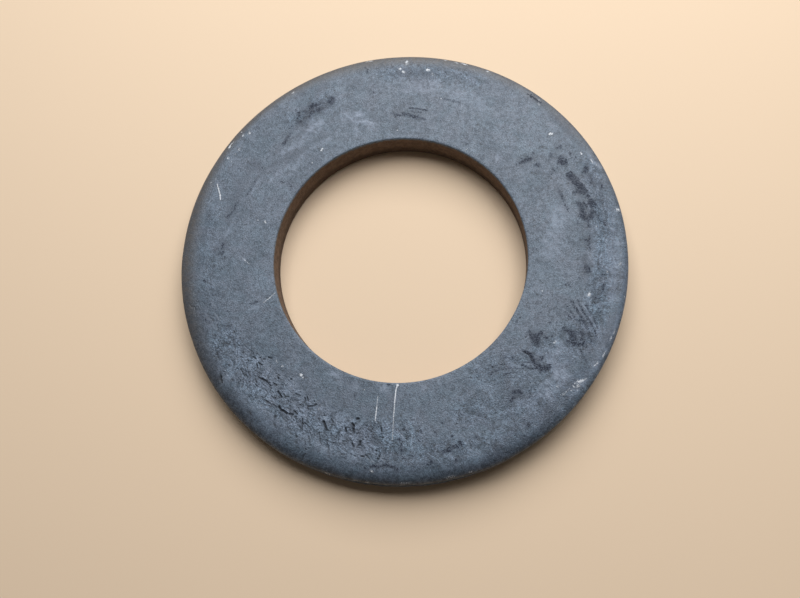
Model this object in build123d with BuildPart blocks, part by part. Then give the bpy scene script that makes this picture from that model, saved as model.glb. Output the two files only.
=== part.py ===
"""Heavy punched steel washer: one solid, turned from its section about the bore's axis.

Millimetres, +Z up. The origin is the centre of the bottom face, on the bore's axis, and the
washer rests on that face. The shape is the one that a press leaves in thick plate. The top
outer edge is rolled over, the foot of the rim is torn and draws in slightly, and the bore is
crisp where it meets the top face and rounded where it leaves the bottom face.
"""

import os

from build123d import *

# Overall sizes, for a bolt of two inches
outer_diameter = 95.25  # across the smooth wall of the rim, its widest place
bore_diameter = 53.975
thickness = 7.112

# Rim, from the top face down
rim_roll_width = 3.4  # how far the rolled-over edge reaches in from the smooth wall
rim_roll_depth = 1.6  # how far that edge drops below the top face
torn_height = 2.8  # height of the torn band at the foot of the rim
torn_inset = 0.5  # how far the torn band draws in by its lower edge
foot_break = 0.3  # small bevel between the torn band and the bottom face

# Bore, from the top face down
bore_edge_break = 0.2  # small bevel between the top face and the bore's wall
bore_roll_depth = 0.8  # height of the rounding at the bore's bottom edge
bore_roll_width = 1.4  # how far that rounding reaches out into the bottom face

wall_radius = outer_diameter / 2
foot_radius = wall_radius - torn_inset
bore_radius = bore_diameter / 2
roll_start_radius = wall_radius - rim_roll_width
bore_roll_radius = bore_radius + bore_roll_width

with BuildPart() as washer:
    # The section right of the axis, drawn clockwise from the bore's top edge
    with BuildSketch(Plane.XZ):
        with BuildLine():
            top_face = Line(
                (bore_radius + bore_edge_break, thickness),
                (roll_start_radius, thickness),
            )
            rim_roll = EllipticalCenterArc(
                (roll_start_radius, thickness - rim_roll_depth),
                rim_roll_width,
                rim_roll_depth,
                start_angle=90,
                arc_size=-90,
            )
            rim_and_bottom = Polyline(
                rim_roll @ 1,
                (wall_radius, torn_height),
                (foot_radius, foot_break),
                (foot_radius - foot_break, 0),
                (bore_roll_radius, 0),
            )
            bore_roll = EllipticalCenterArc(
                rim_and_bottom @ 1 + Vector(0, bore_roll_depth),
                bore_roll_width,
                bore_roll_depth,
                start_angle=270,
                arc_size=-90,
            )
            Polyline(
                bore_roll @ 1,
                (bore_radius, thickness - bore_edge_break),
                top_face @ 0,
            )
        make_face()
    revolve(axis=Axis.Z)

washer.part.label = "washer"

os.makedirs("parts", exist_ok=True)
export_step(washer.part, "parts/washer.step")
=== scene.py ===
"""A heavy punched steel washer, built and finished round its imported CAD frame.

The washer is one closed mesh. Its section is drawn as nine straight runs, spun round the
bore's axis, divided more finely where the face is pitted or marked, and then moved point by
point to its worn shape. The same points carry the weights that its finish reads. Sizes are
in millimetres and directions in degrees from +X towards +Y, unless a name says otherwise.
"""

import logging
import math
import random
from collections.abc import Iterable, Sequence
from dataclasses import dataclass, field
from enum import Enum, IntEnum

import bmesh
import bpy
import numpy as np
from mathutils import Matrix, Vector, noise


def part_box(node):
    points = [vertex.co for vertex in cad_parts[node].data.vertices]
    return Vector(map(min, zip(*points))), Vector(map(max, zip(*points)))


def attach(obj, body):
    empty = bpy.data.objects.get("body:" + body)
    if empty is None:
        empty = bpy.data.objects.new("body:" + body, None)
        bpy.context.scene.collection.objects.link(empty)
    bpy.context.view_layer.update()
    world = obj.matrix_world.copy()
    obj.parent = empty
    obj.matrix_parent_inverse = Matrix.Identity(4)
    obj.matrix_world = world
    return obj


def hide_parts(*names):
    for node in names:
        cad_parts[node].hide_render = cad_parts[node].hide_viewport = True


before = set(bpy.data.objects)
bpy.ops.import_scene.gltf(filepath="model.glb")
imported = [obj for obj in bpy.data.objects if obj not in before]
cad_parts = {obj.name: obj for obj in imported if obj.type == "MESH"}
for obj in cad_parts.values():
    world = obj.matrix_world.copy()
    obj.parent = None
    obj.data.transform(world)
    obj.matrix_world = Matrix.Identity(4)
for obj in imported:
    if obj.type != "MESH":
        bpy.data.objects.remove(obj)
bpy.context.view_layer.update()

LOG = logging.getLogger("washer")
MM = 0.001

Point = tuple[float, float]
Colour = tuple[float, float, float, float]
Numbers = np.ndarray
Socket = bpy.types.NodeSocket


class Run(IntEnum):
    """The runs of the section, in order from the bore's top edge outwards and back."""

    BORE_BREAK = 0
    FACE = 1
    ROLL = 2
    WALL = 3
    TORN = 4
    FOOT = 5
    UNDERSIDE = 6
    BORE_FOOT = 7
    BORE_WALL = 8


class Weight(Enum):
    """The weights that the mesh carries for its finish, from 0 to 1."""

    STAIN = "stain"
    SHADE = "shade"
    HAZE = "haze"
    BARE = "bare"
    PITTED = "pitted"
    FLAKED = "flaked"
    RIM_REFLECTION = "limb"
    PAINTED_SHADE = "soot"
    TORN = "torn"
    BORE = "bore"
    SHADE_ON_WALL = "shade_on_wall"
    COARSE = "coarse"


def eased(value: Numbers) -> Numbers:
    """Smooth step of a value held between 0 and 1."""
    held = np.clip(value, 0.0, 1.0)
    return held * held * (3.0 - 2.0 * held)


def ripple(places: Numbers, size: float | Sequence[float], seed: float) -> Numbers:
    """Smooth noise at places in space.

    Args:
        places: one row of x, y, z for each place, in millimetres.
        size: the size of a ripple, or its size along each axis, in millimetres.
        seed: shifts the noise, so that two ripples differ.

    Returns:
        One number from about -1 to 1 for each place.
    """
    moved = places / np.asarray(size, float) + seed
    return np.array([noise.noise(Vector(p)) for p in moved])


@dataclass(frozen=True)
class Around:
    """A size that changes round the washer.

    Attributes:
        stops: pairs of direction in degrees, rising from 0, and size there.
    """

    stops: tuple[Point, ...]

    def at(self, degrees: Numbers) -> Numbers:
        """The size in each direction, eased from stop to stop.

        Args:
            degrees: the directions.

        Returns:
            The size in each of them.
        """
        turns = np.mod(degrees, 360.0)
        knots = np.array([s[0] for s in self.stops] + [360.0 + self.stops[0][0]])
        sizes = np.array([s[1] for s in self.stops] + [self.stops[0][1]])
        turns = np.where(turns < knots[0], turns + 360.0, turns)
        after = np.clip(np.searchsorted(knots, turns, side="right"), 1, len(knots) - 1)
        share = (turns - knots[after - 1]) / (knots[after] - knots[after - 1])
        return sizes[after - 1] + (sizes[after] - sizes[after - 1]) * eased(share)


@dataclass(frozen=True)
class Mark:
    """A stroke of even width on the face, seen from above.

    Attributes:
        path: the places that the stroke runs through.
        wide: its width.
        strength: its depth in a pit, or how plainly it shows, from 0 to 1.
    """

    path: tuple[Point, ...]
    wide: float
    strength: float = 1.0

    def gap(self, x: Numbers, y: Numbers) -> Numbers:
        """Distance of each place from the edge of the stroke.

        Args:
            x: places along X.
            y: places along Y.

        Returns:
            The distance, negative inside the stroke.
        """
        best = np.full(len(x), np.inf)
        ends = self.path if len(self.path) > 1 else self.path * 2
        for (ax, ay), (bx, by) in zip(ends, ends[1:]):
            run_x, run_y = bx - ax, by - ay
            length = max(run_x * run_x + run_y * run_y, 1e-12)
            along = np.clip(((x - ax) * run_x + (y - ay) * run_y) / length, 0.0, 1.0)
            best = np.minimum(best, np.hypot(x - ax - along * run_x, y - ay - along * run_y))
        return best - self.wide / 2

    def near(self, x: Numbers, y: Numbers, reach: float) -> Numbers:
        """Which places lie in the stroke's own box, made larger.

        Args:
            x: places along X.
            y: places along Y.
            reach: how much larger the box is on every side.

        Returns:
            The row numbers of those places.
        """
        far = reach + self.wide / 2
        xs, ys = [p[0] for p in self.path], [p[1] for p in self.path]
        inside_x = (x > min(xs) - far) & (x < max(xs) + far)
        return np.flatnonzero(inside_x & (y > min(ys) - far) & (y < max(ys) + far))


def line(wide: float, strength: float, *path: Point) -> Mark:
    """A line through two or more places."""
    return Mark(path, wide, strength)


def dot(x: float, y: float, wide: float, strength: float = 1.0) -> Mark:
    """A round spot."""
    return Mark(((x, y),), wide, strength)


def oval(x: float, y: float, wide: float, long: float, lean: float, strength: float = 1.0) -> Mark:
    """An oval spot.

    Args:
        x: its middle along X.
        y: its middle along Y.
        wide: its width.
        long: its length.
        lean: the direction of its long axis, in degrees from +X.
        strength: how deep it is, or how plainly it shows.

    Returns:
        The spot as a short stroke with round ends.
    """
    half = max(long - wide, 0.0) / 2
    step_x, step_y = half * math.cos(math.radians(lean)), half * math.sin(math.radians(lean))
    return Mark(((x - step_x, y - step_y), (x + step_x, y + step_y)), wide, strength)


def dots(wide: float, strength: float, *places: Point) -> tuple[Mark, ...]:
    """Round spots of one size."""
    return tuple(dot(x, y, wide, strength) for x, y in places)


@dataclass(frozen=True)
class FaceWear:
    """The stains, scratches, bare specks and pits on the top face."""

    stains: tuple[Mark, ...] = (
        oval(34.4, 21.4, 1.5, 2.1, -75),
        oval(34.9, 20.8, 1.3, 1.9, -30),
        dot(33.5, 19.6, 0.3),
        oval(36.1, 17.7, 1.5, 2.0, -60),
        line(0.7, 1.0, (36.3, 18.3), (37.3, 17.2)),
        oval(37.5, 16.2, 1.5, 2.4, -60),
        oval(38.3, 15.2, 1.2, 1.9, -20),
        oval(39.0, 14.3, 1.1, 2.1, -55),
        oval(39.4, 13.1, 0.7, 1.3, 20),
        line(0.7, 1.0, (37.0, 13.8), (37.7, 14.3), (38.3, 13.9)),
        dot(39.7, 13.0, 0.9),
        oval(40.5, 11.3, 1.6, 2.2, -60),
        line(0.9, 1.0, (37.9, 11.2), (38.5, 10.2), (38.3, 9.2)),
        line(0.6, 0.9, (38.6, 11.4), (39.4, 10.8)),
        line(1.1, 1.0, (38.3, 8.6), (39.1, 7.9), (40.2, 8.3)),
        oval(40.5, 9.2, 0.8, 1.4, 80, 0.9),
        dot(38.9, 9.1, 0.8),
        line(0.25, 0.8, (41.0, 9.6), (41.4, 8.9), (42.1, 7.5), (43.1, 6.9)),
        dot(41.2, 10.5, 0.4),
        line(0.3, 0.7, (36.3, 22.6), (37.4, 21.7)),
        dot(42.6, 15.1, 0.4, 0.7),
        line(0.35, 0.7, (41.3, 8.9), (42.0, 8.6)),
        line(0.3, 0.6, (39.3, 7.8), (39.8, 6.2)),
        oval(39.5, 19.4, 0.8, 1.2, 80, 0.9),
        line(0.6, 0.9, (38.8, 18.5), (39.4, 18.8), (40.0, 18.6)),
        oval(40.6, 16.3, 0.5, 1.0, 75, 0.7),
        oval(42.5, 12.0, 0.5, 0.9, 30, 0.7),
        line(0.8, 1.0, (26.8, 21.3), (28.0, 21.8)),
        line(0.55, 0.9, (25.6, 20.7), (26.8, 21.3)),
        *dots(0.35, 0.8, (24.8, 20.5), (26.1, 21.8), (27.4, 22.4), (28.3, 22.6), (25.9, 20.2)),
        line(0.6, 0.9, (28.8, 20.2), (29.7, 20.4)),
        dot(28.6, 23.1, 0.5, 0.7),
        oval(32.2, 22.3, 0.7, 1.1, 70, 0.9),
        line(0.5, 0.85, (33.6, 24.1), (34.4, 24.5)),
        dot(30.0, 24.8, 0.5, 0.85),
        line(0.4, 0.8, (32.5, 19.4), (32.9, 18.9)),
        *dots(0.4, 0.8, (33.6, 20.3), (32.5, 18.3), (31.3, 14.4), (36.1, 9.6), (35.7, 2.7)),
        line(0.3, 0.8, (33.3, 14.9), (34.3, 13.2), (34.7, 11.6), (35.0, 10.2)),
        dot(35.4, 10.3, 0.7, 0.5),
        dot(37.3, 7.2, 0.6, 0.6),
        line(0.25, 0.6, (42.2, 8.0), (43.0, 6.5)),
        oval(28.2, 36.6, 0.7, 1.3, -40, 0.9),
        line(0.5, 0.85, (28.6, 36.3), (30.2, 35.0)),
        line(0.8, 1.0, (0.2, 33.0), (1.2, 32.6), (2.2, 32.5), (3.3, 31.9)),
        line(0.5, 1.0, (3.5, 32.2), (5.0, 31.5)),
        line(0.35, 0.8, (1.5, 34.4), (3.0, 34.2), (5.5, 33.7)),
        line(0.3, 0.6, (2.2, 33.5), (4.2, 33.2)),
        line(0.4, 0.9, (-2.5, 33.2), (-1.6, 32.9), (-0.5, 32.6)),
        line(0.2, 0.5, (6.5, 36.7), (9.5, 36.2), (13.0, 35.3)),
        oval(-16.2, 36.6, 1.0, 1.5, 70, 1.0),
        oval(-16.2, 36.6, 1.3, 1.9, 70, 1.0),
        oval(-19.0, 34.3, 0.8, 1.5, 30, 0.7),
        line(0.5, 0.8, (-20.4, 33.9), (-19.6, 34.1), (-18.5, 34.3)),
        oval(-20.3, 35.4, 1.0, 2.2, 20, 0.6),
        line(0.4, 0.6, (-20.9, 33.4), (-20.8, 32.4)),
        line(0.35, 0.6, (-22.2, 34.0), (-23.2, 33.9)),
        line(0.3, 0.6, (-22.3, 32.2), (-21.9, 31.0)),
        *dots(0.5, 0.85, (-23.2, 32.9), (-22.9, 31.7), (-23.6, 32.3), (-24.1, 34.3)),
        *dots(0.4, 0.75, (-25.2, 30.0), (-24.6, 30.4), (-25.5, 28.2), (-26.3, 26.6)),
        line(0.3, 0.6, (-25.6, 27.9), (-26.2, 27.0), (-26.6, 26.0)),
        line(0.12, 0.7, (-26.8, 17.4), (-25.8, 16.9), (-24.6, 17.5), (-24.0, 18.1)),
        line(0.12, 0.6, (-28.0, 19.7), (-27.0, 19.4)),
        line(0.12, 0.6, (-24.9, 21.5), (-24.2, 21.2)),
        line(0.12, 0.6, (-36.5, 21.3), (-36.3, 20.2)),
        *dots(0.3, 0.75, (-6.6, 38.4), (-33.0, 23.2), (-28.0, 27.0), (-30.9, 20.6)),
        dot(-23.5, 33.5, 0.8, 0.7),
        dot(-27.4, 32.8, 0.5, 0.7),
        line(0.5, 0.55, (-25.0, 28.5), (-26.5, 26.0)),
        line(0.18, 0.6, (-32.0, 17.8), (-33.1, 15.6), (-33.8, 14.1)),
        dot(-32.2, 17.9, 0.3, 0.9),
        line(0.35, 0.8, (-8.8, 44.8), (-7.7, 43.0)),
        dot(-26.8, 13.0, 0.4, 0.9),
        line(0.2, 0.6, (-24.6, 16.8), (-23.9, 15.6), (-24.4, 15.0)),
        oval(-38.4, 2.5, 0.5, 1.6, 85, 0.6),
        oval(-38.5, 0.8, 0.7, 1.3, 20, 0.7),
        line(0.35, 0.55, (-36.2, 12.1), (-36.5, 10.7)),
        line(0.5, 0.5, (-36.9, 10.1), (-37.8, 9.1)),
        *dots(0.3, 0.7, (-39.3, 1.8), (-39.3, 0.6), (-37.7, 0.0), (-40.2, 1.2), (-31.8, 1.4)),
        *dots(
            0.3, 0.65, (-42.0, -5.4), (-41.3, -5.7), (-31.0, -14.8), (-25.4, -15.1),
            (-42.2, -1.5),
        ),
        *dots(0.3, 0.6, (-33.6, -10.5), (-36.2, -12.1), (-40.8, -13.8), (-39.1, -16.6)),
        line(0.3, 0.5, (-29.5, -9.9), (-31.4, -10.6)),
        *dots(0.4, 0.95, (-1.6, 32.4), (3.0, 32.3), (-2.5, 33.1), (31.6, 26.8)),
        *dots(0.3, 0.6, (11.0, 30.2), (8.5, 31.0)),
        line(0.2, 0.6, (13.5, 25.9), (14.7, 25.4)),
        oval(39.0, -3.0, 1.0, 1.8, -60, 0.9),
        line(0.3, 0.7, (38.7, -3.9), (39.7, -3.6)),
        line(0.25, 0.7, (41.9, -4.3), (42.8, -4.0)),
        line(0.3, 0.6, (39.7, 4.2), (39.7, 1.5)),
        line(0.25, 0.5, (39.0, 3.8), (38.9, 2.0)),
        oval(42.1, -7.1, 0.4, 1.6, 85, 0.7),
        line(0.2, 0.65, (39.9, -9.0), (41.2, -9.3)),
        oval(41.4, 0.5, 0.25, 0.8, 60, 0.75),
        *dots(0.4, 0.7, (44.5, -7.0), (44.3, -10.4), (41.2, -9.3), (35.6, 2.7), (43.0, 1.5)),
        *dots(0.3, 0.7, (28.7, 1.3), (29.6, 2.8), (34.8, -4.0), (40.0, -4.9), (37.2, -4.9)),
        *dots(0.26, 0.65, (36.9, -1.2), (34.5, -6.6), (27.1, -3.0), (27.2, 5.2), (34.3, 1.8)),
        line(0.2, 0.6, (35.0, -6.0), (35.6, -7.0)),
        line(0.32, 0.85, (35.6, -9.4), (36.3, -11.4), (37.2, -12.9)),
        line(0.28, 0.8, (37.4, -13.4), (38.6, -15.6)),
        line(0.32, 0.85, (36.9, -9.8), (37.9, -12.1), (38.8, -13.6)),
        line(0.3, 0.8, (39.2, -14.2), (40.0, -15.9), (40.4, -17.6)),
        line(0.28, 0.8, (38.6, -10.6), (39.5, -12.7)),
        line(0.28, 0.8, (39.9, -13.4), (40.7, -15.4)),
        line(0.28, 0.8, (34.6, -12.3), (35.6, -13.7)),
        line(0.28, 0.8, (38.6, -15.4), (39.1, -17.2), (39.2, -18.6)),
        line(0.2, 0.7, (36.8, -13.4), (37.6, -15.0)),
        line(0.26, 0.75, (34.5, -10.4), (35.5, -12.2), (36.5, -13.9)),
        line(0.22, 0.7, (35.8, -9.9), (37.0, -12.2), (38.2, -14.4)),
        line(0.26, 0.75, (36.6, -19.1), (37.5, -20.9), (38.3, -22.5)),
        line(0.24, 0.7, (37.4, -18.0), (38.4, -19.6), (39.2, -21.1)),
        line(0.2, 0.7, (41.0, -11.4), (41.5, -12.8)),
        line(0.18, 0.6, (18.0, -24.2), (20.0, -23.4), (22.2, -23.0)),
        line(0.18, 0.6, (18.6, -25.0), (21.0, -24.2), (23.2, -23.8), (25.6, -23.9)),
        line(0.18, 0.55, (20.4, -26.0), (22.4, -25.0), (24.6, -24.6)),
        line(0.18, 0.55, (23.6, -22.4), (25.2, -22.0)),
        dot(22.2, -21.6, 0.6, 0.7),
        dot(23.7, -17.8, 0.35, 0.6),
        line(0.5, 1.0, (25.7, -20.2), (26.6, -20.6), (27.2, -21.3)),
        line(0.9, 1.0, (27.2, -21.3), (28.0, -22.8), (29.2, -23.7)),
        line(1.0, 1.0, (28.9, -24.0), (30.0, -24.0), (30.8, -23.4)),
        oval(29.3, -21.7, 0.8, 1.3, 40, 0.8),
        line(0.4, 0.9, (25.4, -23.2), (27.1, -23.9), (28.2, -23.9)),
        line(0.25, 0.7, (25.8, -22.6), (27.0, -22.7)),
        dot(29.2, -16.8, 1.1, 0.9),
        oval(28.5, -17.4, 1.0, 1.7, -40, 0.8),
        oval(30.4, -17.6, 0.5, 1.1, -20, 0.7),
        line(0.5, 1.0, (27.0, -16.3), (27.6, -17.8)),
        line(0.8, 1.0, (27.6, -17.8), (28.9, -18.5)),
        line(0.5, 0.9, (27.7, -18.6), (28.7, -19.4)),
        *dots(0.4, 0.8, (21.9, -21.5), (23.5, -21.8), (19.3, -25.0), (20.8, -24.1), (32.6, -14.5)),
        *dots(0.3, 0.75, (24.3, -14.1), (25.2, -13.5), (29.2, -12.3), (26.2, -17.4)),
        oval(24.4, -14.2, 0.3, 0.7, 80, 0.6),
        dot(31.4, -14.5, 0.4, 0.7),
        dot(31.5, -17.3, 0.4, 0.7),
        dot(34.4, -18.3, 0.5, 0.8),
        line(0.8, 1.0, (34.0, -15.6), (35.4, -16.4)),
        line(1.3, 1.0, (35.5, -16.7), (36.0, -18.6)),
        line(0.6, 0.95, (36.0, -18.7), (37.2, -18.8), (38.1, -19.1)),
        line(0.3, 0.8, (34.4, -18.0), (35.8, -19.1)),
        line(0.45, 0.85, (36.2, -16.3), (37.8, -16.8)),
        line(0.4, 0.85, (37.4, -17.3), (37.8, -18.4)),
        line(0.8, 0.95, (23.6, -28.7), (24.7, -28.5)),
        dot(25.2, -28.9, 0.5, 0.85),
        line(0.5, 0.85, (23.7, -29.8), (23.1, -30.5)),
        oval(26.5, -35.2, 0.7, 1.1, 0, 0.8),
        dot(25.5, -34.4, 0.6, 0.7),
        dot(26.7, -28.3, 0.4, 0.7),
        dot(26.8, -29.7, 0.4, 0.7),
        oval(-8.3, -29.6, 0.8, 1.0, 0, 0.45),
        line(0.4, 1.0, (-4.7, -43.8), (-1.7, -43.5), (0.9, -44.2)),
        line(0.35, 0.85, (1.6, -38.7), (1.2, -40.1), (1.6, -42.0)),
        line(0.6, 0.85, (9.7, -40.8), (11.4, -40.0), (13.2, -38.8)),
        line(0.5, 0.8, (6.8, -43.3), (7.6, -42.7)),
        *dots(0.5, 0.85, (3.9, -41.6), (12.5, -42.2), (16.2, -37.7), (11.4, -37.6), (5.3, -36.7)),
        *dots(0.4, 0.8, (8.4, -43.3), (1.2, -37.9), (-2.9, -41.7), (-18.1, -39.7), (-9.7, -42.2)),
        dot(37.3, -29.9, 0.7, 0.9),
        oval(-1.4, -27.4, 0.3, 0.8, 0, 1.0),
        oval(1.0, -38.35, 0.35, 0.65, 0, 0.95),
        oval(1.6, -36.4, 0.3, 0.6, 50, 0.8),
        oval(-1.3, -42.8, 0.25, 0.9, -10, 0.7),
        *dots(0.36, 0.85, (9.4, -34.95), (13.1, -33.2), (0.8, -44.5), (-5.6, -44.1)),
        *dots(0.28, 0.7, (1.8, -35.7), (3.3, -36.2), (2.6, -37.7), (3.7, -41.5), (5.0, -38.6)),
        *dots(0.28, 0.65, (2.3, -34.6), (3.5, -34.3), (12.9, -30.5), (8.0, -37.0), (12.3, -42.1)),
        line(0.16, 0.6, (1.9, -40.0), (1.5, -41.0), (1.9, -42.2), (2.9, -42.8)),
        line(0.2, 0.5, (6.6, -29.2), (6.9, -30.2)),
    )
    shades: tuple[Mark, ...] = (
        oval(-19.4, 34.9, 2.6, 5.4, 25, 1.0),
        oval(-22.3, 32.8, 2.6, 4.6, 60, 0.9),
        oval(-16.3, 36.6, 1.6, 2.6, 75, 1.0),
        oval(-18.2, 40.0, 1.2, 3.6, 30, 0.6),
        line(1.0, 0.55, (-28.6, 23.7), (-27.2, 25.4), (-26.2, 27.0), (-25.2, 29.0), (-23.5, 31.0)),
        line(1.2, 0.5, (-25.0, 22.6), (-23.0, 23.8), (-20.6, 25.8), (-18.4, 27.2)),
        oval(3.0, 43.0, 1.6, 9.0, -3, 0.7),
        oval(9.4, 44.0, 1.0, 4.5, -6, 0.6),
        oval(3.3, 41.0, 0.7, 1.2, -30, 0.8),
        oval(2.0, 33.2, 1.2, 7.0, -6, 0.55),
        oval(-6.6, 32.4, 0.9, 1.6, -60, 0.6),
        oval(-11.0, 41.0, 1.2, 2.0, 30, 0.5),
        oval(21.0, -23.5, 2.4, 7.0, -25, 0.12),
        oval(15.0, -27.5, 2.0, 6.0, -30, 0.12),
        line(0.5, 0.8, (-16.1, 28.3), (-19.2, 27.2), (-22.6, 24.4), (-25.0, 22.9), (-27.4, 21.8)),
        line(0.5, 0.75, (-27.4, 21.8), (-30.2, 20.4), (-32.5, 17.4), (-34.0, 14.1)),
        line(0.5, 0.75, (-20.8, 30.5), (-22.8, 28.6), (-24.9, 27.1), (-26.9, 25.6), (-28.9, 23.0)),
        line(0.5, 0.65, (-28.9, 23.0), (-31.7, 21.2), (-34.0, 18.9), (-36.4, 17.1)),
        line(0.7, 0.65, (-36.3, 12.3), (-36.4, 10.8), (-37.2, 9.3), (-38.1, 7.7)),
        line(1.8, 0.35, (-42.3, 10.5), (-43.3, 3.0), (-43.2, -5.0), (-41.2, -13.0)),
        line(0.3, 0.7, (-28.4, 19.8), (-26.6, 20.3), (-24.9, 21.9), (-22.5, 23.2)),
        line(2.0, 0.4, (-32.5, 22.5), (-34.5, 18.0), (-37.0, 13.0), (-38.0, 8.0)),
        oval(27.0, 21.4, 1.6, 4.4, 30, 0.5),
        oval(33.8, 24.0, 1.2, 2.4, 40, 0.4),
        oval(37.6, 15.4, 1.8, 6.0, -62, 0.85),
        oval(39.3, 10.4, 2.4, 5.2, -80, 0.85),
        oval(39.5, 18.9, 1.2, 2.2, 60, 0.5),
        oval(42.5, 11.8, 1.0, 2.2, 50, 0.35),
        line(0.8, 0.6, (33.2, 15.3), (34.2, 13.2), (34.6, 11.3), (35.4, 9.6)),
        oval(39.6, 6.6, 1.0, 3.0, -80, 0.6),
        oval(39.4, 3.0, 1.2, 3.4, 85, 0.65),
        oval(35.9, -17.2, 1.8, 4.4, -65, 0.8),
        oval(38.2, -17.2, 1.6, 4.0, -65, 0.6),
        oval(28.4, -17.8, 1.8, 4.0, -60, 0.75),
        oval(28.4, -22.4, 1.8, 4.6, -55, 0.75),
        oval(31.0, -17.2, 0.8, 2.2, -20, 0.6),
        oval(35.6, -23.4, 2.0, 3.4, -40, 0.3),
        oval(12.5, -40.2, 1.4, 4.5, -30, 0.5),
        oval(40.6, 16.3, 1.4, 3.2, -60, 0.6),
        oval(34.4, -18.6, 1.0, 1.8, 60, 0.6),
        oval(37.8, -12.6, 2.2, 6.5, -60, 0.5),
        oval(39.0, -3.0, 1.8, 4.0, 80, 0.7),
        oval(40.8, -8.6, 1.6, 4.0, -70, 0.6),
        oval(42.1, -7.0, 0.8, 2.4, 85, 0.6),
        oval(24.5, -28.8, 1.8, 3.6, 30, 0.8),
        oval(22.8, -30.6, 1.2, 2.6, 80, 0.6),
        oval(7.0, -43.0, 1.4, 2.0, 0, 0.7),
        oval(13.0, -40.2, 1.4, 2.6, 60, 0.55),
        oval(-38.8, 2.0, 1.8, 4.0, 60, 0.6),
        oval(29.0, -33.0, 2.0, 7.0, 40, 0.45),
        oval(30.0, 35.0, 1.2, 4.0, -45, 0.6),
        oval(36.5, 28.0, 1.5, 5.0, -55, 0.5),
        oval(38.8, 24.6, 1.6, 3.4, -50, 0.6),
        line(1.6, 0.75, (37.6, 26.1), (35.1, 29.3), (32.4, 32.3)),
        line(1.8, 0.65, (31.3, -31.8), (33.4, -30.4), (35.2, -29.1)),
        line(1.2, 0.6, (44.4, -12.2), (43.2, -15.8), (42.2, -18.2)),
        line(3.2, 0.55, (19.0, -40.7), (25.8, -36.8), (31.8, -31.8), (36.7, -26.0), (38.8, -22.4)),
    )
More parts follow.
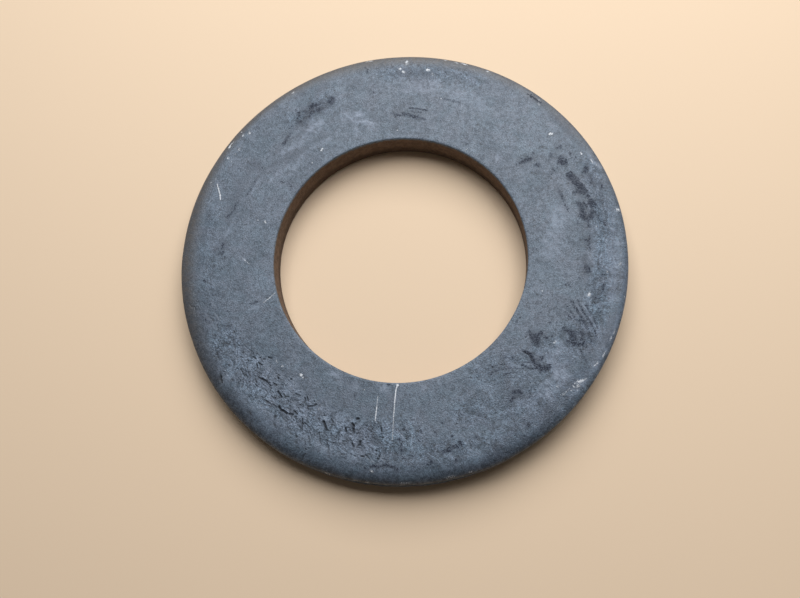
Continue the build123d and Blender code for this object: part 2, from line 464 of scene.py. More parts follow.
    haze: tuple[Mark, ...] = (
        line(1.0, 1.0, (-10.0, 31.6), (-8.4, 31.3), (-7.1, 30.6)),
        oval(-10.4, 32.6, 1.8, 3.2, 20, 0.95),
        oval(-12.8, 32.6, 1.6, 2.6, -60, 0.7),
        oval(-10.2, 29.2, 0.7, 2.0, 80, 0.6),
        line(1.2, 0.7, (-21.8, 28.0), (-20.4, 30.0), (-18.2, 31.2)),
        line(0.25, 0.8, (-31.6, 17.4), (-32.7, 15.4), (-33.3, 14.0)),
        line(0.8, 0.6, (43.4, -2.6), (44.4, -1.6), (44.7, 0.6)),
        line(0.7, 0.6, (40.2, -1.9), (39.8, -1.2)),
        oval(40.9, 5.6, 1.0, 2.2, 70, 0.6),
        line(0.5, 0.7, (30.0, -28.4), (31.6, -27.6), (33.2, -26.6), (34.6, -25.2)),
        oval(36.6, -27.2, 1.6, 3.4, 45, 0.8),
        line(3.2, 0.55, (31.6, -21.8), (33.4, -23.6), (32.8, -26.2), (30.2, -28.4)),
        line(9.0, 0.3, (-33.0, -23.5), (-26.0, -29.5), (-18.0, -35.5), (-9.0, -39.0)),
        line(1.4, 0.45, (44.2, 8.0), (44.5, 2.0), (44.2, -4.0), (43.2, -9.5)),
        oval(43.9, 0.2, 1.8, 4.4, 90, 0.6),
        line(1.0, 0.5, (41.4, -19.6), (39.4, -23.0)),
        line(0.35, 0.7, (38.4, 16.4), (39.2, 15.4), (39.9, 14.4)),
        line(0.3, 0.7, (37.9, 12.9), (38.6, 12.3)),
        line(0.3, 0.7, (39.4, 11.7), (39.9, 10.6), (39.8, 9.6)),
        oval(38.0, -25.6, 1.2, 2.6, 55, 0.6),
        line(0.5, 0.7, (31.4, -19.3), (32.4, -18.1)),
        line(1.8, 0.6, (30.8, -22.0), (32.4, -20.6), (33.2, -19.4)),
        line(0.25, 0.8, (36.7, -10.8), (38.2, -13.2), (39.4, -15.2)),
        line(0.25, 0.8, (37.8, -10.4), (39.0, -12.6), (40.3, -15.2)),
        line(0.3, 0.8, (29.9, -28.3), (31.2, -27.9), (32.4, -27.4)),
        line(0.25, 0.7, (30.7, -30.0), (31.5, -31.2)),
        line(0.25, 0.7, (32.3, -31.6), (33.1, -32.4)),
        line(
            0.4, 0.6, (45.2, -11.4), (44.2, -15.4), (42.3, -20.1), (41.2, -21.8),
            (39.8, -24.0), (37.9, -26.2),
        ),
        line(0.35, 1.0, (43.2, 3.2), (43.7, 2.0), (44.9, 2.6), (46.3, 2.7)),
        line(0.35, 0.9, (44.0, 0.2), (44.7, 1.1), (45.5, 0.4)),
        line(0.35, 1.0, (40.1, 22.3), (40.9, 21.2), (41.8, 20.2), (42.9, 19.4)),
        line(0.5, 0.55, (28.1, -21.8), (28.7, -20.9), (29.2, -22.3)),
        line(0.5, 0.6, (26.6, -22.9), (27.8, -23.0), (28.4, -24.2)),
        line(0.2, 0.7, (-36.4, 8.3), (-37.2, 6.4), (-37.9, 4.2)),
        line(0.3, 0.7, (-29.6, -11.2), (-31.5, -11.7)),
        line(0.25, 0.6, (-29.6, -9.3), (-31.5, -9.9)),
        *dots(0.3, 0.5, (-33.8, -3.7), (-32.0, -4.5), (-30.6, -2.6), (-29.6, -4.3), (-27.3, -5.0)),
        *dots(0.3, 0.5, (-30.5, -6.4), (-28.6, -1.0), (-33.3, -0.7)),
        dot(-8.3, -27.8, 1.3, 0.6),
        oval(-2.5, -28.1, 1.2, 2.2, 0, 0.9),
        dot(5.5, -27.9, 0.9, 0.6),
        oval(-12.5, -25.4, 0.9, 2.2, -30, 0.7),
        dot(21.0, 22.0, 1.4, 0.6),
        oval(44.6, -2.0, 1.6, 4.6, 80, 0.7),
        oval(32.0, -27.0, 1.6, 3.0, -40, 0.6),
        line(
            0.5, 0.6, (-16.0, 27.4), (-19.4, 25.5), (-22.5, 22.9), (-25.2, 20.9),
            (-27.9, 18.8), (-29.3, 17.1),
        ),
        line(0.5, 0.6, (-17.9, 29.9), (-21.3, 27.3), (-24.7, 25.0), (-27.5, 23.6), (-30.3, 22.0)),
        line(0.8, 0.35, (-24.0, 20.5), (-20.0, 24.0)),
        oval(4.0, 39.5, 3.0, 9.0, 10, 0.35),
        oval(33.0, 5.0, 4.0, 12.0, 70, 0.35),
        oval(14.0, 36.0, 4.0, 10.0, -30, 0.3),
    )
    bare: tuple[Mark, ...] = (
        dot(0.38, -27.5, 0.5, 0.9),
        line(0.22, 0.9, (0.35, -27.4), (0.05, -28.5), (-0.15, -31.0)),
        line(0.17, 0.75, (-0.15, -31.0), (-0.3, -34.0)),
        line(0.14, 0.6, (-0.3, -34.0), (-0.4, -38.5)),
        line(0.13, 0.6, (-3.6, -29.8), (-3.75, -32.0)),
        line(0.18, 0.85, (-3.75, -32.0), (-3.9, -33.5), (-4.0, -34.7)),
        line(0.15, 0.6, (-26.2, -8.1), (-27.3, -9.2), (-28.6, -10.3)),
        line(0.13, 0.5, (-34.0, -0.2), (-32.2, -1.7)),
        line(0.16, 0.6, (-25.1, -22.5), (-24.7, -23.0)),
        dot(-23.7, -23.8, 0.4, 0.6),
        dot(-19.6, -25.6, 0.6, 0.85),
        dot(-19.2, -26.2, 0.45, 0.8),
        line(0.18, 0.75, (-4.8, -44.0), (-4.4, -45.0)),
        line(0.2, 0.9, (-40.8, 16.8), (-40.3, 15.3), (-39.9, 14.2), (-39.8, 13.2)),
        dot(-39.9, 14.1, 0.4, 0.85),
        line(0.22, 0.6, (-29.4, 8.1), (-29.2, 7.6)),
        line(0.16, 0.65, (31.1, -19.5), (32.4, -18.1)),
        line(0.2, 0.7, (35.8, -26.8), (37.0, -26.1), (38.3, -25.8)),
        line(0.12, 0.55, (31.0, -28.0), (32.5, -27.3)),
        line(0.12, 0.5, (33.5, -29.0), (35.0, -27.5)),
        line(0.12, 0.5, (33.2, -27.5), (34.9, -25.3)),
        oval(39.1, -8.3, 0.6, 0.8, 70, 1.0),
        dot(39.9, -1.0, 0.42, 0.8),
        dot(40.4, -0.45, 0.36, 0.85),
        line(0.16, 0.6, (42.7, -4.1), (43.4, -3.4)),
        *dots(0.30, 0.7, (29.8, -7.7), (45.5, -8.9), (46.3, -8.9), (45.7, 1.5)),
        line(0.22, 0.75, (-33.5, 30.5), (-33.2, 31.1), (-33.0, 31.2)),
        oval(-38.8, 25.8, 0.45, 0.9, 60, 0.8),
        dot(-35.7, 28.6, 0.5, 0.65),
        line(0.13, 0.5, (-38.0, 21.9), (-36.8, 24.4), (-36.4, 25.4)),
        oval(-38.8, 22.9, 0.3, 0.7, -50, 0.6),
        oval(-17.7, 24.7, 0.35, 0.9, 60, 0.65),
        dot(-19.7, 21.6, 0.34, 0.55),
        *dots(0.30, 0.65, (-26.6, 36.2), (-37.2, 23.8), (-34.4, 28.9), (-36.3, 29.4)),
        line(0.25, 0.7, (0.5, 45.2), (0.8, 46.2)),
        line(0.3, 0.65, (13.3, 45.2), (13.9, 44.9)),
        line(0.25, 0.6, (-8.6, 46.3), (-7.4, 46.5)),
        *dots(0.3, 0.55, (8.6, 36.5), (9.3, 46.2), (11.9, 45.4), (4.6, 42.4), (-5.6, 46.7)),
        dot(37.3, -26.4, 0.5, 0.95),
        oval(45.8, -2.0, 0.4, 1.0, 80, 0.5),
        line(0.28, 0.8, (45.0, 10.0), (46.0, 10.05)),
        dot(38.7, 22.7, 0.5, 0.8),
        oval(32.4, 27.5, 0.5, 0.8, -30, 1.0),
        line(0.22, 0.5, (30.0, 36.0), (30.0, 34.6)),
        line(0.3, 0.6, (40.5, 21.3), (41.0, 20.5)),
        line(0.3, 0.6, (41.2, -21.5), (41.6, -21.2)),
        line(0.25, 0.6, (-38.7, 26.2), (-38.0, 27.0)),
        line(0.25, 0.4, (13.6, 23.6), (14.4, 24.4)),
        *dots(0.34, 0.7, (36.9, -26.6), (35.5, -27.4), (36.3, -27.3), (36.2, -28.1)),
        *dots(0.30, 0.6, (35.0, -28.3), (39.0, -24.6), (38.7, -26.1), (40.5, -22.3)),
        *dots(0.30, 0.6, (39.8, -23.2), (40.3, -22.8), (41.9, -20.5), (42.3, -19.8)),
        *dots(0.32, 0.6, (42.9, -18.3), (43.3, -17.5), (44.0, -16.3), (44.2, -15.6)),
        *dots(0.34, 0.7, (38.6, 23.0), (39.4, 21.3), (40.2, 22.2), (40.9, 21.2), (41.8, 20.2)),
        *dots(0.32, 0.55, (41.7, 17.2), (41.7, 5.7), (41.3, 6.3), (27.7, 37.7)),
        *dots(0.6, 0.95, (5.4, 43.7), (-0.8, 44.1), (0.1, 43.2), (6.5, 42.6)),
        *dots(0.42, 0.8, (0.6, 45.8), (19.0, 42.9), (4.4, 40.6)),
        line(0.25, 0.8, (5.3, 43.4), (5.1, 42.8)),
        *dots(0.34, 0.7, (-0.4, 43.6), (13.6, 44.9)),
        *dots(0.36, 0.6, (-1.0, 29.0), (-25.6, 38.2), (-25.0, 38.9), (-33.5, 31.0)),
        *dots(0.30, 0.5, (-35.8, 28.8), (-37.1, 24.0), (-37.9, 22.0), (-38.9, 23.0)),
        *dots(0.30, 0.5, (-41.3, 18.0), (-42.3, 17.2), (-29.5, 7.8), (-31.0, 8.3)),
        *dots(0.28, 0.45, (-6.4, -28.5), (27.3, -24.9), (31.2, -26.6), (32.7, -31.6)),
        *dots(0.28, 0.45, (-28.8, -31.4), (-27.6, -31.8), (-15.6, -32.5), (-14.3, -34.4)),
        oval(-13.6, -45.3, 0.5, 1.4, -17, 0.34),
        oval(-5.4, -46.9, 0.4, 1.0, -7, 0.34),
        oval(2.4, -46.8, 0.4, 2.6, 3, 0.3),
        oval(11.2, -45.5, 0.5, 1.8, 14, 0.34),
        oval(15.2, -44.4, 0.4, 0.9, 19, 0.32),
    )
    coarse: tuple[Mark, ...] = (
        line(4.0, 0.5, (40.5, 20.0), (42.5, 10.0)),
        line(5.0, 0.75, (42.5, 10.0), (43.0, 0.0), (41.5, -9.0), (38.5, -17.0)),
        line(8.0, 0.5, (37.0, -17.0), (32.0, -21.0), (25.0, -24.0), (19.0, -25.0)),
        line(6.0, 0.55, (33.0, -28.0), (25.0, -31.0), (14.0, -33.0)),
        line(5.0, 0.6, (38.0, -25.5), (31.0, -33.0), (20.0, -39.0), (8.0, -41.0), (0.0, -41.0)),
        line(7.0, 0.9, (2.0, -38.0), (-8.0, -38.5), (-18.0, -35.0), (-28.0, -28.0), (-36.0, -19.0)),
        line(4.0, 0.4, (-40.0, -8.0), (-42.0, 2.0), (-41.0, 10.0)),
        line(4.0, 0.6, (-24.0, 32.0), (-17.0, 36.5)),
        line(4.0, 0.5, (-4.0, 43.5), (8.0, 43.0), (16.0, 41.0)),
    )
    pits: tuple[Mark, ...] = (
        line(0.42, 0.36, (-36.7, -26.0), (-36.5, -27.2)),
        line(0.26, 0.20, (-37.9, -21.1), (-36.7, -22.6)),
        dot(-36.5, -24.0, 0.3, 0.18),
        line(0.25, 0.18, (-29.9, -21.9), (-29.4, -22.3)),
        line(0.25, 0.18, (-26.7, -22.0), (-26.0, -22.2)),
        line(0.25, 0.20, (-29.1, -23.6), (-28.9, -24.2)),
        line(0.25, 0.18, (-28.8, -23.1), (-28.0, -23.6)),
        line(0.22, 0.16, (-32.5, -24.5), (-32.0, -25.0)),
        line(0.22, 0.16, (-32.0, -25.3), (-31.4, -25.9)),
        line(0.32, 0.28, (-27.9, -26.4), (-26.9, -26.9)),
        line(0.22, 0.18, (-26.9, -26.9), (-25.9, -27.9)),
        line(0.34, 0.34, (-24.3, -29.1), (-23.9, -29.6), (-23.5, -30.2)),
        line(0.18, 0.14, (-26.6, -31.0), (-25.4, -31.8)),
        line(0.42, 0.38, (-23.9, -32.2), (-23.4, -32.9), (-22.9, -33.0), (-22.2, -33.5)),
        line(0.30, 0.28, (-21.7, -33.6), (-20.9, -33.7)),
        line(0.26, 0.22, (-20.7, -33.0), (-20.0, -33.6)),
        line(0.22, 0.18, (-24.6, -33.9), (-24.3, -34.1)),
        line(0.18, 0.16, (-31.9, -31.2), (-31.3, -31.9), (-30.5, -32.8), (-29.8, -33.6)),
        line(0.24, 0.20, (-18.6, -30.3), (-18.4, -31.0)),
        line(0.24, 0.20, (-18.1, -30.2), (-17.9, -30.9)),
        line(0.24, 0.20, (-17.9, -32.0), (-16.9, -32.0), (-16.1, -31.6)),
        line(0.22, 0.20, (-18.9, -34.5), (-18.8, -35.8), (-18.9, -37.1)),
        line(0.44, 0.40, (-14.5, -35.1), (-14.2, -35.8), (-13.9, -36.7)),
        line(0.16, 0.16, (-13.9, -36.6), (-13.3, -36.9)),
        line(0.34, 0.32, (-10.0, -36.3), (-9.8, -37.0)),
        line(0.36, 0.34, (-8.6, -35.4), (-8.3, -35.9)),
        line(0.38, 0.36, (-8.4, -36.3), (-8.3, -37.2)),
        oval(-7.6, -34.4, 0.4, 0.7, 0, 0.28),
        line(0.32, 0.30, (-6.9, -38.9), (-6.9, -39.6)),
        line(0.30, 0.28, (-8.5, -39.3), (-8.2, -40.0)),
        line(0.20, 0.18, (-2.8, -36.2), (-2.6, -36.9)),
        line(0.18, 0.15, (-20.2, -37.2), (-20.0, -38.6), (-19.7, -40.2)),
        line(0.18, 0.15, (-19.1, -35.4), (-19.2, -37.2)),
        line(0.18, 0.15, (-17.4, -38.0), (-17.1, -39.9)),
        line(0.18, 0.15, (-15.3, -37.4), (-14.9, -39.4)),
        line(0.18, 0.15, (-13.8, -38.7), (-13.2, -40.6)),
        line(0.18, 0.15, (-21.4, -36.0), (-21.1, -38.4)),
        line(0.18, 0.15, (-25.9, -28.9), (-27.2, -30.6)),
        line(0.20, 0.18, (-28.6, -26.1), (-27.3, -26.9)),
        line(0.20, 0.18, (-24.9, -35.4), (-24.5, -36.1)),
        line(0.24, 0.20, (-19.9, -38.0), (-19.9, -38.9), (-19.8, -39.8)),
        line(0.24, 0.18, (-6.7, -41.8), (-6.0, -41.9)),
        line(0.18, 0.16, (-18.0, -41.5), (-18.5, -42.0), (-18.7, -42.7)),
        line(0.25, 0.14, (25.9, -20.6), (26.9, -21.1), (27.6, -22.2)),
        line(0.20, 0.10, (-3.5, -44.0), (0.5, -43.9)),
        *dots(0.26, 0.18, (-27.7, -22.4), (-28.5, -22.1), (-31.0, -22.7), (-30.5, -25.0)),
        *dots(0.30, 0.22, (-24.35, -26.35), (-21.7, -26.5), (-24.8, -30.4), (-24.6, -33.2)),
        *dots(0.26, 0.20, (-22.4, -30.1), (-22.0, -30.1), (-22.0, -31.0), (-20.2, -34.1)),
        *dots(0.24, 0.18, (-24.9, -34.4), (-16.6, -31.0), (-18.9, -33.5), (-14.7, -35.1)),
        *dots(0.26, 0.20, (-12.8, -37.5), (-6.9, -39.1), (-7.2, -39.7), (-5.8, -38.1)),
        *dots(0.24, 0.18, (-5.3, -38.0), (-3.3, -36.0), (-2.7, -37.4), (-17.8, -39.1)),
        *dots(0.26, 0.20, (-17.0, -39.8), (-17.9, -40.7), (-17.3, -40.5), (-21.6, -37.7)),
        *dots(0.24, 0.18, (-21.4, -39.6), (-23.6, -37.7), (-8.7, -41.4), (-7.9, -41.8)),
        *dots(0.26, 0.20, (-5.8, -41.6), (-4.9, -41.4), (-3.6, -40.7), (-3.5, -41.4)),
        *dots(0.24, 0.18, (-3.2, -42.3), (-3.0, -41.8), (-9.5, -42.8), (-12.6, -42.5)),
        *dots(0.24, 0.18, (-12.2, -41.5), (-10.6, -41.5)),
    )


@dataclass(frozen=True)
class PitField:
    """A part of the face where the scale has flaked and left fine pits.

    Attributes:
        spread: a broad stroke over that part; its strength is how rough the scale is.
        count: how many pits are tried.
        lean: their usual direction, in degrees.
        long: shortest and longest pit.
        wide: narrowest and widest pit.
        depth: shallowest and deepest pit.
        seed: starts the random draws.
        wander: how far a pit's direction strays from the usual one, in degrees.
        outside: how far outside the stroke a pit may lie.
    """

    spread: Mark
    count: int
    lean: float
    long: Point
    wide: Point
    depth: Point
    seed: int
    wander: float = 28.0
    outside: float = 0.5

    def marks(self) -> tuple[Mark, ...]:
        """The pits, the same ones every time.

        Returns:
            Each pit as a mark.
        """
        draw = random.Random(self.seed)
        half = self.spread.wide / 2
        xs, ys = [p[0] for p in self.spread.path], [p[1] for p in self.spread.path]
        made = []
        while len(made) < self.count:
            x = draw.uniform(min(xs) - half, max(xs) + half)
            y = draw.uniform(min(ys) - half, max(ys) + half)
            lean = self.lean + draw.gauss(0.0, self.wander)
            wide, depth = draw.uniform(*self.wide), draw.uniform(*self.depth)
            long = self.long[0] + (self.long[1] - self.long[0]) * draw.random() ** 2
            gap = self.spread.gap(np.array([x]), np.array([y]))[0]
            if gap < draw.uniform(-half, self.outside):
                made.append(oval(x, y, wide, long, lean, depth))
        return tuple(made)


@dataclass(frozen=True)
class Section:
    """The washer's section and how it changes on the way round.

    Attributes:
        wall_radius: outside radius at the smooth wall of the rim.
        bore_radius: radius of the bore.
        top: height of the top face.
        bore_break: width and depth of the broken top edge of the bore.
        torn_height: where the torn band under the smooth wall starts.
        torn_inset: how far the torn band draws in at the foot.
        foot_break: the break of the foot's edge.
        bore_foot: width and height of the rolled edge at the bore's foot.
        roll: width and depth that the rolled top edge is drawn with before it takes its own.
        roll_width: width of the rolled top edge, round the washer.
        roll_depth: its depth, round the washer.
        ledge: how plainly the rim's ledge shows, from 0 to 1.
        ledge_inset: how far in the roll ends over the ledge.
        ledge_step: the upright step from the roll to the ledge.
        ledge_drop: how far below the roll's end the ledge's outer edge lies.
        ledge_slope: how far the step leans out on its way down.
        ledge_edge: how far inside the wall the ledge's outer edge lies.
        ledge_shares: shares of the wall's run at the foot of the step and at the ledge's edge.
        roll_square: 2 makes the roll an ellipse, and less makes it flatter.
        cuts: how often each run is divided.
    """

    wall_radius: float = 47.60
    bore_radius: float = 26.99
    top: float = 7.08
    bore_break: Point = (0.5, 0.22)
    torn_height: float = 2.8
    torn_inset: float = 0.5
    foot_break: float = 0.3
    bore_foot: Point = (1.0, 0.5)
    roll: Point = (3.0, 1.4)
    roll_width: Around = Around(
        (
            (0, 1.3),
            (30, 1.2),
            (60, 1.4),
            (90, 1.8),
            (135, 2.0),
            (155, 2.6),
            (180, 3.9),
            (210, 5.0),
            (240, 5.3),
            (270, 4.8),
            (300, 3.2),
            (325, 1.6),
        )
    )
    roll_depth: Around = Around(
        (
            (0, 0.7),
            (30, 0.65),
            (60, 0.7),
            (90, 0.9),
            (135, 1.0),
            (180, 1.1),
            (210, 1.9),
            (240, 2.4),
            (270, 2.15),
            (300, 1.6),
            (325, 0.95),
        )
    )
    ledge: Around = Around(((0, 0.0), (240, 0.0), (252, 0.8), (265, 1.0), (284, 0.9), (298, 0.0)))
    ledge_inset: float = 0.3
    ledge_step: float = 0.15
    ledge_drop: float = 0.7
    ledge_slope: float = 0.03
    ledge_edge: float = 0.04
    ledge_shares: Point = (0.22, 0.60)
    roll_square: float = 1.75
    cuts: tuple[int, ...] = (4, 36, 16, 8, 6, 2, 8, 4, 10)

    def corners(self) -> list[Point]:
        """The corners of the section as it is first drawn.

        Returns:
            Radius and height of the corner where each run starts.
        """
        width, depth = self.roll
        foot = self.wall_radius - self.torn_inset
        return [
            (self.bore_radius, self.top - self.bore_break[1]),
            (self.bore_radius + self.bore_break[0], self.top),
            (self.wall_radius - width, self.top),
            (self.wall_radius, self.top - depth),
            (self.wall_radius, self.torn_height),
            (foot, self.foot_break),
            (foot - self.foot_break, 0.0),
            (self.bore_radius + self.bore_foot[0], 0.0),
            (self.bore_radius, self.bore_foot[1]),
        ]

    def place(self, station: Numbers, degrees: Numbers) -> tuple[Numbers, Numbers]:
        """Radius and height of each point on the true section.

        Args:
            station: run number plus the share of that run.
            degrees: direction of the point.

        Returns:
            The radii and the heights.
        """
        run = np.floor(station).astype(int)
        share = station - run
        width, depth = self.roll_width.at(degrees), self.roll_depth.at(degrees)
        ledge = self.ledge.at(degrees)
        starts = self.corners()
        radius, height = np.zeros(len(station)), np.zeros(len(station))
        for n, (start, end) in enumerate(zip(starts, starts[1:] + starts[:1])):
            here = run == n
            radius[here] = start[0] + (end[0] - start[0]) * share[here]
            height[here] = start[1] + (end[1] - start[1]) * share[here]

        turn = share * math.pi / 2
        here = run == Run.BORE_BREAK
        radius[here] = self.bore_radius + self.bore_break[0] * (1 - np.cos(turn[here]))
        height[here] = self.top - self.bore_break[1] * (1 - np.sin(turn[here]))

        here = run == Run.FACE
        inner = self.bore_radius + self.bore_break[0]
        radius[here] = inner + (self.wall_radius - width[here] - inner) * share[here]

        end = self.wall_radius - self.ledge_inset * ledge
        here = run == Run.ROLL
        reach = end - (self.wall_radius - width)
        power = 2 / self.roll_square
        radius[here] = end[here] - reach[here] * (1 - np.sin(turn[here]) ** power)
        height[here] = self.top - depth[here] * (1 - np.cos(turn[here]) ** power)

        here = run == Run.WALL
        plain = self.top - depth + (self.torn_height - self.top + depth) * share
        stops = np.array([0.0, *self.ledge_shares, 1.0])
        step_in = self.ledge_inset - self.ledge_slope
        insets = [-self.ledge_inset, -step_in, -self.ledge_edge, 0.0]
        stepped_radius = np.interp(share, stops, insets)
        drops = np.interp(share, stops[:3], [0.0, self.ledge_step, self.ledge_drop])
        left = np.clip((share - stops[2]) / (1 - stops[2]), 0.0, 1.0)
        floor = self.top - depth - self.ledge_drop
        stepped = np.where(
            share <= stops[2],
            self.top - depth - drops,
            floor + (self.torn_height - floor) * left,
        )
        radius[here] = (self.wall_radius + ledge * stepped_radius)[here]
        height[here] = (plain + (stepped - plain) * ledge)[here]

        here = run == Run.BORE_FOOT
        radius[here] = self.bore_radius + self.bore_foot[0] * (1 - np.sin(turn[here]))
        height[here] = self.bore_foot[1] * (1 - np.cos(turn[here]))
        return radius, height


@dataclass
class WasherRing:
    """The washer itself: one closed, worn steel ring.

    Attributes:
        section: the section that is turned.
        wear: the marks on its face.
        fields: fine pits strewn over parts of the face.
        brown_tint: how far the painted reflection of the warm floor tints the rim's edge brown,
            round the washer, from 0 to 1.
        edge_shading: how far painted shade darkens the rim's edge, round the washer, from 0 to 1;
            it is strongest on the near side, which faces away from the lamp.
        edge_reach: how far in from the wall the painted reflection and the painted shade reach.
        browned_below: height under which the bore's wall turns brown.
        browned_over: how far down it takes to be fully brown.
        steps: how many steps the full turn has.
        thin_stain: stains narrower than this get a finer mesh.
        deep_pit: pits at least this deep get the finest mesh.
        reaches: how far from a mark's edge the mesh is divided once, twice and three times.
        flaked_reaches: how far from the edge of the flaked scale it is divided once and twice.
        station_layer: name of the layer that keeps each point's place on the section.
    """

    section: Section = field(default_factory=Section)
    wear: FaceWear = field(default_factory=FaceWear)
    fields: tuple[PitField, ...] = (
        PitField(
            spread=line(
                9.0,
                1.0,
                *((-33.0, -23.5), (-26.0, -29.5), (-18.0, -35.5), (-9.0, -39.0), (-3.0, -40.0)),
            ),
            count=270,
            lean=-46.0,
            long=(0.2, 1.3),
            wide=(0.11, 0.22),
            depth=(0.06, 0.15),
            seed=11,
        ),
        PitField(
            spread=line(6.0, 0.55, (-41.5, -11.0), (-38.5, -16.5), (-35.0, -21.0)),
            count=110,
            lean=-42.0,
            long=(0.3, 1.3),
            wide=(0.12, 0.2),
            depth=(0.03, 0.08),
            seed=23,
        ),
    )
    # Painted reflection of the warm floor on the rim's rounded edge.
    brown_tint: Around = Around(
        ((0, 0.1), (45, 0.6), (80, 1.0), (190, 1.0), (220, 0.3), (240, 0.0), (320, 0.0))
    )
    # Painted shade on the rim's edge: strongest on the near side, away from the lamp.
    edge_shading: Around = Around(
        (
            (0, 0.0),
            (60, 0.1),
            (150, 0.15),
            (180, 0.35),
            (205, 0.8),
            (225, 1.0),
            (300, 1.0),
            (325, 0.5),
            (340, 0.1),
        )
    )
    edge_reach: Around = Around(
        (
            (0, 0.9),
            (60, 2.2),
            (100, 3.0),
            (140, 2.0),
            (180, 3.8),
            (212, 3.8),
            (240, 2.4),
            (300, 2.2),
            (335, 1.0),
        )
    )
    browned_below: float = 6.9
    browned_over: float = 1.2
    steps: int = 440
    thin_stain: float = 1.2
    deep_pit: float = 0.24
    reaches: tuple[float, float, float] = (0.32, 0.14, 0.1)
    flaked_reaches: Point = (0.6, -0.2)
    station_layer: str = "station"

    def draw_section(
        self, shape: bmesh.types.BMesh
    ) -> list[bmesh.types.BMVert | bmesh.types.BMEdge]:
        """Draws the section's runs in the plane of X and Z.

        Args:
            shape: the mesh that is being built.

        Returns:
            The points and lines of the section.
        """
        layer = shape.verts.layers.float.new(self.station_layer)
        corners = [Vector((r * MM, 0.0, z * MM)) for r, z in self.section.corners()]
        for run, corner in enumerate(corners):
            shape.verts.new(corner)[layer] = float(run)
        for run, cuts in enumerate(self.section.cuts):
            shape.verts.ensure_lookup_table()
            after = (run + 1) % len(corners)
            edge = shape.edges.new((shape.verts[run], shape.verts[after]))
            length = (corners[after] - corners[run]).length
            made = bmesh.ops.subdivide_edges(shape, edges=[edge], cuts=cuts)
            for point in made["geom_inner"]:
                if isinstance(point, bmesh.types.BMVert):
                    point[layer] = run + (point.co - corners[run]).length / length
        return list(shape.verts) + list(shape.edges)

    def turn(self) -> bmesh.types.BMesh:
        """Turns the section once round the bore's axis.

        Returns:
            The closed ring, still smooth.
        """
        shape = bmesh.new()
        outline = self.draw_section(shape)
        bmesh.ops.spin(
            shape,
            geom=outline,
            cent=(0.0, 0.0, 0.0),
            axis=(0.0, 0.0, 1.0),
            angle=math.tau,
            steps=self.steps,
            use_merge=True,
        )
        bmesh.ops.recalc_face_normals(shape, faces=shape.faces)
        return shape

    def refine(self, shape: bmesh.types.BMesh, *kinds: tuple[Iterable[Mark], float]) -> None:
        """Divides the faces near some marks once more.

        Args:
            shape: the mesh that is being built.
            kinds: marks that need a finer mesh, each kind with its reach: how far from a
                mark's edge the mesh is divided.
        """
        layer = shape.verts.layers.float[self.station_layer]
        faces = [
            f for f in shape.faces if Run.FACE <= min(v[layer] for v in f.verts) < Run.WALL
        ]
        centres = np.array([f.calc_center_median() for f in faces]) / MM
        x, y = centres[:, 0], centres[:, 1]
        chosen = np.zeros(len(faces), bool)
        for marks, reach in kinds:
            for mark in marks:
                near = mark.near(x, y, reach)
                chosen[near[mark.gap(x[near], y[near]) < reach]] = True
        edges = list(dict.fromkeys(e for n in np.flatnonzero(chosen) for e in faces[n].edges))
        bmesh.ops.subdivide_edges(
            shape, edges=edges, cuts=1, use_grid_fill=True, use_single_edge=True
        )

    def build(self) -> bpy.types.Object:
        """Builds the ring, worn and weighted, as an object of its own.

        Returns:
            The ring.
        """
        shape = self.turn()
        pits = self.wear.pits + tuple(m for f in self.fields for m in f.marks())
        thin = tuple(m for m in self.wear.stains if m.wide < self.thin_stain)
        deep = tuple(m for m in self.wear.pits if m.strength >= self.deep_pit)
        lines = tuple(m for m in self.wear.bare if len(m.path) > 1)
        flaked = tuple(f.spread for f in self.fields)
        once, twice, thrice = self.reaches
        flaked_once, flaked_twice = self.flaked_reaches
        self.refine(shape, (pits + thin + self.wear.bare, once), (flaked, flaked_once))
        self.refine(shape, (pits + self.wear.bare, twice), (flaked[:1], flaked_twice))
        self.refine(shape, (deep + lines, thrice))

        layer = shape.verts.layers.float[self.station_layer]
        station = np.array([v[layer] for v in shape.verts])
        base = np.array([v.co for v in shape.verts]) / MM
        degrees = np.degrees(np.arctan2(base[:, 1], base[:, 0])) % 360.0
        mesh = bpy.data.meshes.new("washer_ring")
        shape.to_mesh(mesh)
        shape.free()
        mesh.attributes.remove(mesh.attributes[self.station_layer])
        RingShaper(self, pits, station, degrees).shape(mesh)
        ring = bpy.data.objects.new("washer_ring", mesh)
        bpy.context.scene.collection.objects.link(ring)
        return ring


@dataclass(frozen=True)
class Relief:
    """Sizes of the ripples in the worn steel, and how far they move each part of it.

    Attributes:
        broad: size of the broad ripples.
        middling: size of the middling ones.
        fine: size of the fine ones.
        scored: size of the upright scores in the bore, along each axis.
        crest: the ripple that leaves a place on its section.
        all_over: how far the broad, middling and fine ripples move every place.
        torn: how far the middling and fine ones move the torn band, and how deep it lies.
        ledge: the same for the rim's ledge.
        bore: how far the scores and fine ripples move the bore, and how deep it lies.
        under: how far the middling ripples move the bottom face, and how deep it lies.
        lip: how high the lip of a pit stands.
        flake_reach: how far the flaked scale fades out round its part of the face.
    """

    broad: float = 9.0
    middling: float = 2.2
    fine: float = 0.7
    scored: tuple[float, float, float] = (0.8, 0.8, 4.0)
    crest: float = 0.8
    all_over: tuple[float, float, float] = (0.030, 0.012, 0.004)
    torn: tuple[float, float, float] = (0.16, 0.10, 0.12)
    ledge: tuple[float, float, float] = (0.10, 0.08, 0.08)
    bore: tuple[float, float, float] = (0.05, 0.04, 0.05)
    under: Point = (0.02, 0.02)
    lip: float = 0.07
    flake_reach: float = 4.0


